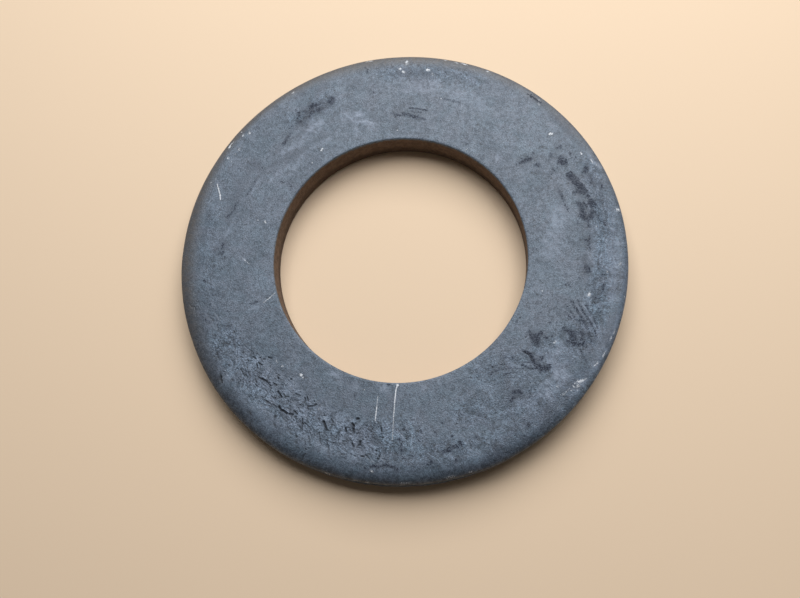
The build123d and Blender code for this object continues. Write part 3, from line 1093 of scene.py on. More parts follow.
@dataclass(frozen=True)
class Flakes:
    """The flaked scale: worn patches with steep edges, cut by fine cracks.

    Attributes:
        lean: the way the patches run, in degrees.
        broad: size of the broad patches, along their lean, across it and upwards.
        close: size of the close ones.
        crack: size of the cracks' curls.
        often: size of the parts with cracks.
        quiet: size of the parts with fewer patches.
        steps: height of the broad steps, the close steps and the close ripples.
        crack_depth: how deep a crack is.
        crack_width: how wide it is, as a share of its ripple.
        sunk: how deep the flaked part lies.
    """

    lean: float = -42.0
    broad: tuple[float, float, float] = (1.9, 0.9, 3.0)
    close: tuple[float, float, float] = (0.9, 0.32, 2.0)
    crack: tuple[float, float, float] = (1.6, 0.6, 3.0)
    often: tuple[float, float, float] = (3.4, 2.0, 3.0)
    quiet: tuple[float, float, float] = (4.2, 2.4, 4.0)
    steps: tuple[float, float, float] = (0.04, 0.04, 0.02)
    crack_depth: float = 0.13
    crack_width: float = 0.08
    sunk: float = 0.12

    def height(self, places: Numbers) -> Numbers:
        """Height of the flaked scale over its section.

        Args:
            places: one row of x, y, z for each place, in millimetres.

        Returns:
            The height at each place, below 0 where it lies deeper.
        """
        lean = math.radians(self.lean)
        along = places[:, 0] * math.cos(lean) + places[:, 1] * math.sin(lean)
        across = places[:, 1] * math.cos(lean) - places[:, 0] * math.sin(lean)
        leaning = np.column_stack((along, across, places[:, 2]))
        broad = ripple(leaning, self.broad, 9.3)
        close = ripple(leaning, self.close, 5.9)
        crack = np.abs(ripple(leaning, self.crack, 27.1))
        often = eased(ripple(leaning, self.often, 33.7) * 3.0 + 0.45)
        quiet = 0.3 + 0.7 * eased(ripple(leaning, self.quiet, 52.3) * 3.0 + 0.55)
        broad_step, close_step, wave = self.steps
        steps = broad_step * eased(broad * 6 + 0.5) + close_step * eased(close * 5 + 0.5)
        steps = steps + wave * close
        cracks = self.crack_depth * often * eased(1 - crack / self.crack_width)
        return quiet * (steps - cracks) - self.sunk


@dataclass
class RingShaper:
    """Moves the ring's points to the worn shape and gives them their weights.

    Attributes:
        ring: the washer ring whose sizes are used.
        pits: every pit, listed or strewn.
        station: each point's place on the section.
        degrees: each point's direction.
        relief: the ripples of the worn steel.
        flakes: the flaked scale.
        pit_reach: how far from a pit's edge it can matter.
        pit_least: the narrowest edge that a pit fades over.
        pit_deepened: how much deeper than its strength a pit is.
        pit_full: the strength from which a pit is fully dirty.
        lip_away: how far from a pit's edge its lip stands.
        lip_wide: half the width of the lip.
        lip_full: the strength of the pit that has a whole lip.
    """

    ring: WasherRing
    pits: tuple[Mark, ...]
    station: Numbers
    degrees: Numbers
    relief: Relief = field(default_factory=Relief)
    flakes: Flakes = field(default_factory=Flakes)
    pit_reach: float = 0.5
    pit_least: float = 0.16
    pit_deepened: float = 1.25
    pit_full: float = 0.18
    lip_away: float = 0.14
    lip_wide: float = 0.16
    lip_full: float = 0.3

    def shape(self, mesh: bpy.types.Mesh) -> None:
        """Moves the points of a mesh and writes the weights on it.

        Args:
            mesh: the ring's mesh, whose points lie in the order of station.
        """
        run = np.floor(self.station).astype(int)
        share = self.station - run
        radius, height = self.ring.section.place(self.station, self.degrees)
        turn = np.radians(self.degrees)
        places = np.column_stack((radius * np.cos(turn), radius * np.sin(turn), height))
        self.write(mesh, places)
        normals = np.zeros(len(places) * 3, np.float32)
        mesh.vertices.foreach_get("normal", normals)
        normals = normals.reshape(-1, 3)
        x, y = places[:, 0].copy(), places[:, 1].copy()

        on_top = (run <= Run.WALL).astype(float)
        torn = eased((self.station - Run.WALL - 0.75) * 4)
        torn = torn * eased((Run.UNDERSIDE - self.station) * 2)
        pitted, pit_depth, lip = self.pit_weights(x, y)
        pitted, pit_depth, lip = pitted * on_top, pit_depth * on_top, lip * on_top
        flaked = on_top * np.maximum.reduce(
            [self.spread((f.spread,), x, y, self.relief.flake_reach) for f in self.ring.fields]
        )
        lift = self.lift(places, torn, pit_depth, lip, flaked)
        self.write(mesh, self.held(places + normals * lift[:, None]))

        wear = self.ring.wear
        # The rim's edge gets a painted reflection of the warm floor and, on its near side, painted
        # shade.
        edge, brown_tint, edge_shading = self.edge(run, radius)
        # Painted shade grows along the roll towards its outer end and is strongest on the wall and
        # the torn band.
        rolled = np.where(run >= Run.WALL, 0.85, 0.5 + 0.3 * share * (run == Run.ROLL))
        bore_rust = eased((self.ring.browned_below - height) / self.ring.browned_over)
        weights = {
            Weight.STAIN: self.spread(wear.stains, x, y, 0.55, 0.45) * on_top,
            Weight.SHADE: self.spread(wear.shades, x, y, 2.0) * on_top,
            Weight.FLAKED: flaked,
            # Painted reflection of the warm floor on the rim's edge.
            Weight.RIM_REFLECTION: edge * brown_tint,
            # Painted shade on the rim's near side.
            Weight.PAINTED_SHADE: edge * edge_shading * rolled,
            Weight.HAZE: self.spread(wear.haze, x, y, 1.6) * on_top,
            Weight.BARE: self.spread(wear.bare, x, y, 0.16) * on_top,
            Weight.PITTED: pitted,
            Weight.TORN: torn * (1 - edge_shading),
            Weight.BORE: np.where(run >= Run.BORE_FOOT, bore_rust, 0.0),
            Weight.SHADE_ON_WALL: edge_shading * np.where(run == Run.WALL, eased(share * 6), run == Run.TORN),
            Weight.COARSE: self.spread(wear.coarse, x, y, 4.0) * on_top,
        }
        for weight, values in weights.items():
            layer = mesh.attributes.new(weight.value, "FLOAT", "POINT")
            layer.data.foreach_set("value", values.astype(np.float32))

    def lift(
        self, places: Numbers, torn: Numbers, pit_depth: Numbers, lip: Numbers, flaked: Numbers
    ) -> Numbers:
        """How far each place is moved out of the smooth section.

        Args:
            places: one row of x, y, z for each place, in millimetres.
            torn: how far each place belongs to the torn band, from 0 to 1.
            pit_depth: how deep a pit sinks there.
            lip: how far it stands up as a pit's lip.
            flaked: how far it belongs to the flaked scale, from 0 to 1.

        Returns:
            The distance along each place's normal.
        """
        relief = self.relief
        run = np.floor(self.station).astype(int)
        share = self.station - run
        bore = np.where(run == Run.BORE_WALL, eased(share * 6) * eased((1 - share) * 8), 0.0)
        under = eased((self.station - Run.UNDERSIDE) * 4)
        under = under * eased((Run.BORE_WALL - self.station) * 3)
        ledge = self.ring.section.ledge.at(self.degrees) * np.where(
            run == Run.WALL, eased(share * 8) * eased((1 - share) * 3), 0.0
        )
        slow = ripple(places, relief.broad, 3.1)
        mid = ripple(places, relief.middling, 17.7)
        fine = ripple(places, relief.fine, 41.3)
        scored = ripple(places, relief.scored, 71.9)

        by_slow, by_mid, by_fine = relief.all_over
        lift = by_slow * (slow - relief.crest) + by_mid * (mid - relief.crest) + by_fine * fine
        lift += -pit_depth + relief.lip * lip
        lift += flaked * self.flakes.height(places)
        by_mid, by_fine, sunk = relief.torn
        lift += torn * (by_mid * mid + by_fine * fine - sunk)
        by_score, by_fine, sunk = relief.bore
        lift += bore * (by_score * scored + by_fine * fine - sunk)
        by_mid, sunk = relief.under
        lift += under * (by_mid * mid - sunk)
        by_mid, by_fine, sunk = relief.ledge
        return lift + ledge * (by_mid * mid + by_fine * fine - sunk)

    def edge(self, run: Numbers, radius: Numbers) -> tuple[Numbers, Numbers, Numbers]:
        """How far each place belongs to the rim's edge, and how strongly the painted reflection and
        the painted shade lie on it there.

        Args:
            run: the run that each place lies on.
            radius: its distance from the bore's axis.

        Returns:
            The share of the edge, how far the painted reflection of the warm floor tints it brown
            and how far painted shade darkens it, each from 0 to 1.
        """
        past_face = (run >= Run.FACE) & (run <= Run.FOOT)
        reach = self.ring.edge_reach.at(self.degrees)
        edge = past_face * eased(1.25 - (self.ring.section.wall_radius - radius) / reach)
        return edge, self.ring.brown_tint.at(self.degrees), self.ring.edge_shading.at(self.degrees)

    def pit_weights(self, x: Numbers, y: Numbers) -> tuple[Numbers, Numbers, Numbers]:
        """What the pits do to each place on the face.

        Args:
            x: places along X.
            y: places along Y.

        Returns:
            How pitted each place is, how deep it sinks and how far it stands up as a lip.
        """
        pitted, depth, lip = np.zeros(len(x)), np.zeros(len(x)), np.zeros(len(x))
        for mark in self.pits:
            near = mark.near(x, y, self.pit_reach)
            gap = mark.gap(x[near], y[near])
            sunk = eased(0.5 - gap / max(mark.wide, self.pit_least))
            depth[near] = np.maximum(depth[near], sunk * mark.strength * self.pit_deepened)
            dirty = min(mark.strength / self.pit_full, 1.0)
            pitted[near] = np.maximum(pitted[near], sunk * dirty)
            raised = eased(1 - np.abs(gap - self.lip_away) / self.lip_wide)
            lip[near] = np.maximum(lip[near], raised * mark.strength / self.lip_full)
        return pitted, depth, lip * (1 - pitted)

    def spread(
        self, marks: Iterable[Mark], x: Numbers, y: Numbers, soft: float, least: float = 0.0
    ) -> Numbers:
        """A weight that is the mark's strength inside it and fades outside.

        Args:
            marks: the marks of one kind.
            x: places along X.
            y: places along Y.
            soft: how wide the faded edge is on a broad mark; a narrow mark's is less.
            least: the weight inside a mark whose strength is 0.

        Returns:
            The weight at each place, from 0 to 1.
        """
        weight = np.zeros(len(x))
        for mark in marks:
            near = mark.near(x, y, soft)
            edge = soft * min(0.3 + mark.wide, 1.0)
            fade = eased(0.5 - mark.gap(x[near], y[near]) / edge)
            weight[near] = np.maximum(weight[near], fade * (least + (1 - least) * mark.strength))
        return weight

    def held(self, places: Numbers) -> Numbers:
        """The places, kept inside the CAD model's box."""
        low, high = (np.array(corner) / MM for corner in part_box("washer"))
        return np.clip(places, low, high)

    def write(self, mesh: bpy.types.Mesh, places: Numbers) -> None:
        """Puts the mesh's points at these places, given in millimetres."""
        mesh.vertices.foreach_set("co", (places * MM).astype(np.float32).ravel())
        mesh.update()


@dataclass
class Bench:
    """Sets out and joins the nodes of one material or node group.

    Attributes:
        tree: the tree that the nodes stand in.
    """

    tree: bpy.types.NodeTree

    def node(self, kind: str, **settings: object) -> bpy.types.Node:
        """Sets down a new node.

        Args:
            kind: the node's type.
            settings: settings of the node itself, by name.

        Returns:
            The node.
        """
        made = self.tree.nodes.new(kind)
        for name, value in settings.items():
            setattr(made, name, value)
        return made

    def feed(self, socket: Socket, value: object) -> None:
        """Joins an output to a socket, or sets the socket's plain value.

        Args:
            socket: the input to fill.
            value: an output of another node, or a plain value.
        """
        if isinstance(value, Socket):
            self.tree.links.new(value, socket)
        else:
            socket.default_value = value

    def maths(self, how: str, first: object, second: object = 0.0) -> Socket:
        """A number worked out from two others.

        Args:
            how: the working, such as ADD or SUBTRACT.
            first: the first number or output.
            second: the second one.

        Returns:
            The result.
        """
        made = self.node("ShaderNodeMath", operation=how)
        self.feed(made.inputs[0], first)
        self.feed(made.inputs[1], second)
        return made.outputs[0]

    def times(self, first: object, second: object) -> Socket:
        """The product of two numbers or outputs."""
        return self.maths("MULTIPLY", first, second)

    def most(self, first: object, second: object) -> Socket:
        """The greater of two numbers or outputs."""
        return self.maths("MAXIMUM", first, second)

    def mix(self, share: object, first: object, second: object, how: str = "MIX") -> Socket:
        """A colour mixed from two others.

        Args:
            share: how much of the second shows, from 0 to 1.
            first: the colour below.
            second: the colour over it.
            how: the way they mix.

        Returns:
            The mixed colour.
        """
        made = self.node("ShaderNodeMix", data_type="RGBA", blend_type=how)
        self.feed(made.inputs[0], share)
        self.feed(made.inputs[6], first)
        self.feed(made.inputs[7], second)
        return made.outputs[2]

    def blend(self, share: object, first: object, second: object) -> Socket:
        """A number mixed from two others.

        Args:
            share: how much of the second counts, from 0 to 1.
            first: the first number or output.
            second: the second one.

        Returns:
            The mixed number.
        """
        made = self.node("ShaderNodeMix", data_type="FLOAT")
        self.feed(made.inputs[0], share)
        self.feed(made.inputs[2], first)
        self.feed(made.inputs[3], second)
        return made.outputs[0]

    def remap(
        self, value: object, low: object, high: object, to_low: float, to_high: float
    ) -> Socket:
        """A value eased from one range to another and held there.

        Args:
            value: the value.
            low: where its own range starts.
            high: where that range ends.
            to_low: the result at the start.
            to_high: the result at the end.

        Returns:
            The new value.
        """
        made = self.node("ShaderNodeMapRange", interpolation_type="SMOOTHSTEP")
        self.feed(made.inputs["Value"], value)
        ends = {"From Min": low, "From Max": high, "To Min": to_low, "To Max": to_high}
        for name, number in ends.items():
            self.feed(made.inputs[name], number)
        return made.outputs[0]

    def scaled(self, vector: object, by: object) -> Socket:
        """A place or colour made larger or smaller.

        Args:
            vector: the place or colour.
            by: how many times larger.

        Returns:
            The scaled place or colour.
        """
        made = self.node("ShaderNodeVectorMath", operation="SCALE")
        self.feed(made.inputs[0], vector)
        self.feed(made.inputs["Scale"], by)
        return made.outputs[0]

    def ripples(self, place: Socket, scale: object, **settings: object) -> bpy.types.Node:
        """Noise in space.

        Args:
            place: where it is read.
            scale: how many ripples there are to each unit of place.
            settings: the node's other inputs, by name.

        Returns:
            The node.
        """
        made = self.node("ShaderNodeTexNoise", noise_dimensions="3D")
        for name, value in {"Vector": place, "Scale": scale, **settings}.items():
            self.feed(made.inputs[name], value)
        return made

    def group(self, tree: bpy.types.NodeTree, **values: object) -> Socket:
        """Sets down a node group with its inputs filled.

        Args:
            tree: the group.
            values: its inputs, by name.

        Returns:
            The group's output.
        """
        made = self.node("ShaderNodeGroup", node_tree=tree)
        for name, value in values.items():
            self.feed(made.inputs[name], value)
        return made.outputs[0]


@dataclass(frozen=True)
class EffectGroup:
    """A node group for one effect, which a material sets down with its own values.

    Attributes:
        name: the group's name.
        values: its number inputs, each with its usual value.
        placed: whether it also takes a place in space.
        result: name of its output.
    """

    name: str
    values: tuple[tuple[str, float], ...]
    placed: bool
    result: str

    def tree(self) -> bpy.types.NodeTree:
        """The group, built the first time it is asked for.

        Returns:
            The node group.
        """
        if self.name in bpy.data.node_groups:
            return bpy.data.node_groups[self.name]
        tree = bpy.data.node_groups.new(self.name, "ShaderNodeTree")
        face = tree.interface
        if self.placed:
            face.new_socket(name="Place", in_out="INPUT", socket_type="NodeSocketVector")
        for name, value in self.values:
            socket = face.new_socket(name=name, in_out="INPUT", socket_type="NodeSocketFloat")
            socket.default_value = value
        face.new_socket(name=self.result, in_out="OUTPUT", socket_type="NodeSocketFloat")
        bench = Bench(tree)
        made = self.effect(bench, bench.node("NodeGroupInput"))
        bench.feed(bench.node("NodeGroupOutput").inputs[self.result], made)
        return tree

    def effect(self, bench: Bench, given: bpy.types.Node) -> Socket:
        """The effect's own nodes, which each kind of group sets out for itself."""
        raise NotImplementedError(self.name)


@dataclass(frozen=True)
class GrainGroup(EffectGroup):
    """Node group: blotches or grain of one size, as a value from 0 to 1."""

    name: str = "Scale grain"
    values: tuple[tuple[str, float], ...] = (
        ("Density", 1.0),
        ("Fineness", 3.0),
        ("Harshness", 0.3),
        ("Drift", 0.0),
    )
    placed: bool = True
    result: str = "Value"

    def effect(self, bench: Bench, given: bpy.types.Node) -> Socket:
        """Noise, made harsher about its middle.

        Args:
            bench: where the nodes are set out.
            given: the node with the group's inputs.

        Returns:
            The grain.
        """
        cloud = bench.ripples(
            given.outputs["Place"],
            given.outputs["Density"],
            Detail=given.outputs["Fineness"],
            Roughness=0.6,
            Distortion=given.outputs["Drift"],
        )
        low = bench.maths("SUBTRACT", 0.5, given.outputs["Harshness"])
        high = bench.maths("ADD", 0.5, given.outputs["Harshness"])
        return bench.remap(cloud.outputs["Fac"], low, high, 0.0, 1.0)


@dataclass(frozen=True)
class RaggedGroup(EffectGroup):
    """Node group: a soft weight turned into a mask with a ragged edge."""

    name: str = "Ragged mask"
    values: tuple[tuple[str, float], ...] = (
        ("Weight", 0.0),
        ("Grain", 0.5),
        ("Raggedness", 0.5),
        ("Edge", 0.15),
    )
    placed: bool = False
    result: str = "Mask"

    def effect(self, bench: Bench, given: bpy.types.Node) -> Socket:
        """The weight, shifted by the grain and cut about its middle.

        Args:
            bench: where the nodes are set out.
            given: the node with the group's inputs.

        Returns:
            The mask.
        """
        centred = bench.maths("SUBTRACT", given.outputs["Grain"], 0.5)
        shifted = bench.times(centred, given.outputs["Raggedness"])
        total = bench.maths("ADD", given.outputs["Weight"], shifted)
        low = bench.maths("SUBTRACT", 0.5, given.outputs["Edge"])
        high = bench.maths("ADD", 0.5, given.outputs["Edge"])
        return bench.remap(total, low, high, 0.0, 1.0)


@dataclass(frozen=True)
class VeinGroup(EffectGroup):
    """Node group: thin curling lines that come and go, as a mask."""

    name: str = "Fine veins"
    values: tuple[tuple[str, float], ...] = (("Density", 1.0), ("Thickness", 0.05), ("Gaps", 0.5))
    placed: bool = True
    result: str = "Mask"

    def effect(self, bench: Bench, given: bpy.types.Node) -> Socket:
        """Lines along the middle of one noise, where a broader one lets them show.

        Args:
            bench: where the nodes are set out.
            given: the node with the group's inputs.

        Returns:
            The mask.
        """
        place, density = given.outputs["Place"], given.outputs["Density"]
        waves = bench.ripples(place, density, Detail=2.0, Distortion=1.2)
        off = bench.maths("ABSOLUTE", bench.maths("SUBTRACT", waves.outputs["Fac"], 0.5))
        line = bench.remap(off, 0.0, given.outputs["Thickness"], 1.0, 0.0)
        patches = bench.ripples(place, bench.times(density, 0.7), Detail=1.0)
        shown = bench.remap(patches.outputs["Fac"], given.outputs["Gaps"], 0.65, 0.0, 1.0)
        return bench.times(line, shown)


class Grain(Enum):
    """The grains that the finish is mixed from.

    Each has its density, fineness, harshness and drift, and whether it is drawn out along
    the way that the plate was rolled.
    """

    CLOUD = (0.10, 4.0, 0.20, 1.2, False)
    HUE = (0.22, 3.0, 0.22, 0.8, False)
    STREAK = (0.42, 4.0, 0.20, 0.8, True)
    SURGE = (0.6, 4.0, 0.12, 1.0, True)
    MOTTLE = (1.0, 4.0, 0.20, 0.6, False)
    GRIT = (1.5, 4.0, 0.16, 1.5, False)
    FLECK = (2.3, 3.0, 0.16, 1.0, False)
    SPECKLE = (3.0, 2.0, 0.24, 0.0, False)
    CRISP = (3.2, 1.5, 0.07, 0.8, False)
    DUST = (6.0, 2.0, 0.30, 0.0, False)


class Vein(Enum):
    """The fine lines in the finish: density, thickness and gaps, and whether drawn out."""

    CRACKS = (0.8, 0.022, 0.46, False)
    WISPS = (0.9, 0.030, 0.48, True)
    CUTS = (1.7, 0.035, 0.50, True)


@dataclass
class SteelBench(Bench):
    """The bench that the steel's finish is set out on.

    Attributes:
        swirl: how far the rolled grain wanders, in millimetres.
        swirl_scale: how often it wanders.
        lean: the way the plate was rolled, in degrees.
        drawn_out: how many times longer than wide the rolled grain is.
        place: each point's place, in millimetres.
        rolling: the same, drawn out along the way the plate was rolled.
        grain: every grain, from 0 to 1.
        weight: every weight that the mesh carries.
    """

    swirl: float = 26.0
    swirl_scale: float = 0.07
    lean: float = -48.0
    drawn_out: float = 3.2
    place: Socket = field(init=False)
    rolling: Socket = field(init=False)
    grain: dict[Grain, Socket] = field(init=False)
    weight: dict[Weight, Socket] = field(init=False)

    def __post_init__(self) -> None:
        """Sets out the nodes that every part of the finish shares."""
        coords = self.node("ShaderNodeTexCoord").outputs["Object"]
        self.place = self.scaled(coords, 1.0 / MM)
        self.rolling = self.rolled()
        self.grain = {kind: self.grown(kind) for kind in Grain}
        self.weight = {
            kind: self.node("ShaderNodeAttribute", attribute_name=kind.value).outputs["Fac"]
            for kind in Weight
        }

    def rolled(self) -> Socket:
        """The place, swirled a little and drawn out along the way the plate was rolled.

        Returns:
            The drawn-out place.
        """
        centred = self.node("ShaderNodeVectorMath", operation="SUBTRACT")
        wander = self.ripples(self.place, self.swirl_scale)
        self.feed(centred.inputs[0], wander.outputs["Color"])
        self.feed(centred.inputs[1], (0.5, 0.5, 0.5))
        swirled = self.node("ShaderNodeVectorMath", operation="MULTIPLY_ADD")
        self.feed(swirled.inputs[0], centred.outputs[0])
        self.feed(swirled.inputs[1], (self.swirl, self.swirl, self.swirl))
        self.feed(swirled.inputs[2], self.place)
        turned = self.node("ShaderNodeMapping", vector_type="TEXTURE")
        self.feed(turned.inputs["Vector"], swirled.outputs[0])
        self.feed(turned.inputs["Rotation"], (0.0, 0.0, math.radians(self.lean)))
        self.feed(turned.inputs["Scale"], (self.drawn_out, 1.0, 1.0))
        return turned.outputs[0]

    def grown(self, kind: Grain) -> Socket:
        """Sets down one grain.

        Args:
            kind: which grain.

        Returns:
            Its value.
        """
        density, fineness, harshness, drift, drawn = kind.value
        return self.group(
            GrainGroup().tree(),
            Place=self.rolling if drawn else self.place,
            Density=density,
            Fineness=fineness,
            Harshness=harshness,
            Drift=drift,
        )

    def veined(self, kind: Vein) -> Socket:
        """Sets down one kind of fine lines.

        Args:
            kind: which lines.

        Returns:
            Their mask.
        """
        density, thickness, gaps, drawn = kind.value
        place = self.rolling if drawn else self.place
        tree = VeinGroup().tree()
        return self.group(tree, Place=place, Density=density, Thickness=thickness, Gaps=gaps)

    def ragged(self, weight: Socket, grain: Socket, raggedness: float, edge: float) -> Socket:
        """A weight turned into a mask with a ragged edge.

        Args:
            weight: the weight.
            grain: what makes its edge ragged.
            raggedness: how far the edge is shifted.
            edge: how soft it is.

        Returns:
            The mask.
        """
        tree = RaggedGroup().tree()
        return self.group(tree, Weight=weight, Grain=grain, Raggedness=raggedness, Edge=edge)


@dataclass(frozen=True)
class ScaledSteel:
    """Dark blue-grey mill scale on steel, rubbed, stained and pitted, with painted shade on the
    rim's near side and at the bore's foot, and a painted reflection of the warm floor on the rim's
    edge.

    Attributes:
        light: colour of the scale where it is rubbed thin.
        dark: colour of the scale where it is thick.
        cool: tint of the greener patches.
        warm: tint of the redder patches.
        haze: colour of the pale bluish bloom.
        stain: colour of the dark stains.
        soot: colour of the painted shade on the rim's edge, on the near side away from the lamp.
        wall: colour of the painted shade on the wall and torn band under it.
        limb: brownish grey of the rim's rounded edge, a painted reflection of the warm floor that
            also darkens it.
        bare: colour of bare metal in scratches and specks.
        dirt: colour in the pits.
        rust: colour of the bore and of the torn band.
        shine: roughness of the thin scale and of the thick scale.
        dull: roughness where it is stained, pitted or brown.
        bump: strength of the fine relief.
        bump_depth: its depth, in millimetres.
    """

    light: Colour = (0.164, 0.211, 0.281, 1.0)
    dark: Colour = (0.062, 0.086, 0.121, 1.0)
    cool: Colour = (0.93, 1.0, 1.0, 1.0)
    warm: Colour = (1.02, 0.99, 0.99, 1.0)
    haze: Colour = (0.29, 0.345, 0.45, 1.0)
    stain: Colour = (0.010, 0.017, 0.036, 1.0)
    soot: Colour = (0.015, 0.021, 0.032, 1.0)
    wall: Colour = (0.010, 0.030, 0.058, 1.0)
    limb: Colour = (0.104, 0.093, 0.084, 1.0)
    bare: Colour = (0.72, 0.76, 0.82, 1.0)
    dirt: Colour = (0.018, 0.019, 0.023, 1.0)
    rust: Colour = (0.150, 0.097, 0.066, 1.0)
    shine: Point = (0.42, 0.55)
    dull: float = 0.9
    bump: float = 0.8
    bump_depth: float = 0.05

    def material(self) -> bpy.types.Material:
        """The finish as a material.

        Returns:
            The material.
        """
        made = bpy.data.materials.new("scaled_steel_finish")
        made.use_nodes = True
        made.node_tree.nodes.clear()
        bench = SteelBench(made.node_tree)
        grain, weight = bench.grain, bench.weight
        mottle = grain[Grain.MOTTLE]
        clouds = bench.blend(0.45, grain[Grain.CLOUD], grain[Grain.STREAK])
        tone = bench.blend(0.5, clouds, mottle)
        smear = bench.remap(bench.blend(0.5, mottle, grain[Grain.SPECKLE]), 0.2, 0.8, 0.0, 1.0)
        cuts = bench.times(bench.veined(Vein.CUTS), weight[Weight.FLAKED])
        brown, stained = self.brown_tint(bench, smear), self.stained(bench, smear)
        bare = bench.ragged(weight[Weight.BARE], grain[Grain.DUST], 0.8, 0.3)
        shaded = bench.remap(smear, 0.1, 0.9, 0.16, 0.84)
        # Mottling of the painted reflection on the rim's edge.
        rim_reflected = bench.remap(mottle, 0.0, 1.0, 0.6, 0.9)
        # Mottling of the painted shade on the rim's near side.
        edge_shading = bench.remap(mottle, 0.1, 0.9, 1.0, 0.5)
        shade_colour = bench.mix(weight[Weight.SHADE_ON_WALL], self.soot, self.wall)

        colour = bench.scaled(self.scale_colour(bench, tone), self.shading(bench, cuts))
        layers = (
            (self.bloom(bench), self.haze),
            (bench.times(weight[Weight.SHADE], shaded), self.stain),
            # Painted reflection of the warm floor on the rim's rounded edge.
            (bench.times(weight[Weight.RIM_REFLECTION], rim_reflected), self.limb),
            (brown, self.rust_colour(bench)),
            # Painted shade on the rim's near side and on its wall.
            (bench.times(weight[Weight.PAINTED_SHADE], edge_shading), shade_colour),
            (stained, self.stain),
            (bench.times(weight[Weight.PITTED], 0.9), self.dirt),
            (bench.times(bare, 0.9), self.bare),
        )
        for share, over in layers:
            colour = bench.mix(share, colour, over)

        thin, thick = self.shine
        matt = bench.most(bench.times(stained, 0.6), weight[Weight.PITTED])
        matt = bench.most(bench.most(matt, brown), weight[Weight.SHADE_ON_WALL])
        roughness = bench.blend(matt, bench.remap(tone, 0.0, 1.0, thick, thin), self.dull)
        steel = bench.node("ShaderNodeBsdfPrincipled")
        bench.feed(steel.inputs["Base Color"], colour)
        bench.feed(steel.inputs["Roughness"], roughness)
        bench.feed(steel.inputs["Normal"], self.relief(bench, cuts))
        out = bench.node("ShaderNodeOutputMaterial")
        bench.feed(out.inputs["Surface"], steel.outputs[0])
        return made

    def scale_colour(self, bench: SteelBench, tone: Socket) -> Socket:
        """The scale's own colour, before its fine grain.

        Args:
            bench: where the nodes are set out.
            tone: how light the scale is, from 0 to 1.

        Returns:
            The colour.
        """
        tint = bench.mix(bench.grain[Grain.HUE], self.cool, self.warm)
        return bench.mix(1.0, bench.mix(tone, self.dark, self.light), tint, "MULTIPLY")

    def shading(self, bench: SteelBench, cuts: Socket) -> Socket:
        """How the fine grain, flecks and cracks lighten and darken the scale.

        Args:
            bench: where the nodes are set out.
            cuts: the mask of the cuts in the flaked scale.

        Returns:
            What the colour is multiplied by.
        """
        fleck, crisp = bench.grain[Grain.FLECK], bench.grain[Grain.CRISP]
        coarse = bench.weight[Weight.COARSE]
        grainy = bench.remap(bench.grain[Grain.MOTTLE], 0.0, 1.0, 1.0, 0.35)
        speckled = bench.remap(bench.grain[Grain.SPECKLE], 0.0, 1.0, 0.72, 1.20)
        shade = bench.blend(grainy, 1.0, speckled)
        shade = bench.times(shade, bench.remap(bench.grain[Grain.DUST], 0.0, 1.0, 0.82, 1.14))
        shade = bench.times(shade, bench.remap(fleck, 0.0, 0.14, 0.5, 1.0))

        gritty = bench.remap(bench.grain[Grain.GRIT], 0.0, 1.0, 0.84, 1.26)
        surging = bench.remap(bench.grain[Grain.SURGE], 0.0, 1.0, 0.78, 1.54)
        grit = bench.times(bench.blend(coarse, 1.0, gritty), bench.blend(coarse, 1.0, surging))
        dark_specks = bench.remap(fleck, 0.0, 0.25, 0.5, 1.0)
        specks = bench.times(dark_specks, bench.remap(fleck, 0.78, 1.0, 1.0, 1.42))
        specks = bench.times(specks, bench.remap(crisp, 0.0, 1.0, 0.82, 1.16))
        flecked = bench.blend(coarse, bench.remap(crisp, 0.0, 1.0, 0.88, 1.07), specks)
        shade = bench.times(shade, bench.times(grit, flecked))

        cracks = bench.veined(Vein.CRACKS)
        cracked = bench.times(cracks, bench.remap(coarse, 0.0, 1.0, 0.45, 0.65))
        cracked = bench.most(cracked, bench.times(cuts, 0.35))
        return bench.times(shade, bench.maths("SUBTRACT", 1.0, cracked))

    def bloom(self, bench: SteelBench) -> Socket:
        """Where the pale bloom and its fine wisps lie.

        Args:
            bench: where the nodes are set out.

        Returns:
            The mask.
        """
        streaked = bench.remap(bench.grain[Grain.STREAK], 0.2, 0.8, 0.45, 1.1)
        haze = bench.times(bench.weight[Weight.HAZE], streaked)
        haze = bench.times(haze, bench.remap(bench.grain[Grain.MOTTLE], 0.0, 1.0, 0.45, 0.95))
        often = bench.remap(bench.weight[Weight.COARSE], 0.0, 1.0, 0.12, 0.7)
        return bench.most(haze, bench.times(bench.veined(Vein.WISPS), often))

    def brown_tint(self, bench: SteelBench, smear: Socket) -> Socket:
        """Where the bore and the torn band are brown.

        Args:
            bench: where the nodes are set out.
            smear: what makes the edge of the brown ragged.

        Returns:
            The mask.
        """
        bore = bench.ragged(bench.weight[Weight.BORE], smear, 0.5, 0.2)
        return bench.most(bore, bench.times(bench.weight[Weight.TORN], 0.7))

    def rust_colour(self, bench: SteelBench) -> Socket:
        """The brown of the bore, mottled, with painted shade that darkens it near its foot.

        Args:
            bench: where the nodes are set out.

        Returns:
            The colour.
        """
        height = bench.node("ShaderNodeSeparateXYZ")
        bench.feed(height.inputs[0], bench.place)
        # Painted shade: the brown darkens below 3 mm, down to 0.62 of itself at 1.6 mm.
        foot_shade = bench.remap(height.outputs["Z"], 1.6, 3.0, 0.62, 1.0)
        mottled = bench.remap(bench.grain[Grain.MOTTLE], 0.0, 1.0, 0.75, 1.2)
        return bench.scaled(self.rust[:3], bench.times(foot_shade, mottled))

    def stained(self, bench: SteelBench, smear: Socket) -> Socket:
        """Where the dark stains lie: a hard ragged core in a soft halo.

        Args:
            bench: where the nodes are set out.
            smear: what makes the halo ragged.

        Returns:
            The mask.
        """
        stain = bench.weight[Weight.STAIN]
        halo = bench.ragged(stain, smear, 0.7, 0.3)
        inner = bench.maths("SUBTRACT", stain, 0.04)
        core = bench.ragged(inner, bench.grain[Grain.GRIT], 1.0, 0.07)
        core = bench.times(core, bench.remap(bench.grain[Grain.CRISP], 0.55, 0.9, 1.0, 0.45))
        return bench.most(bench.times(halo, 0.45), core)

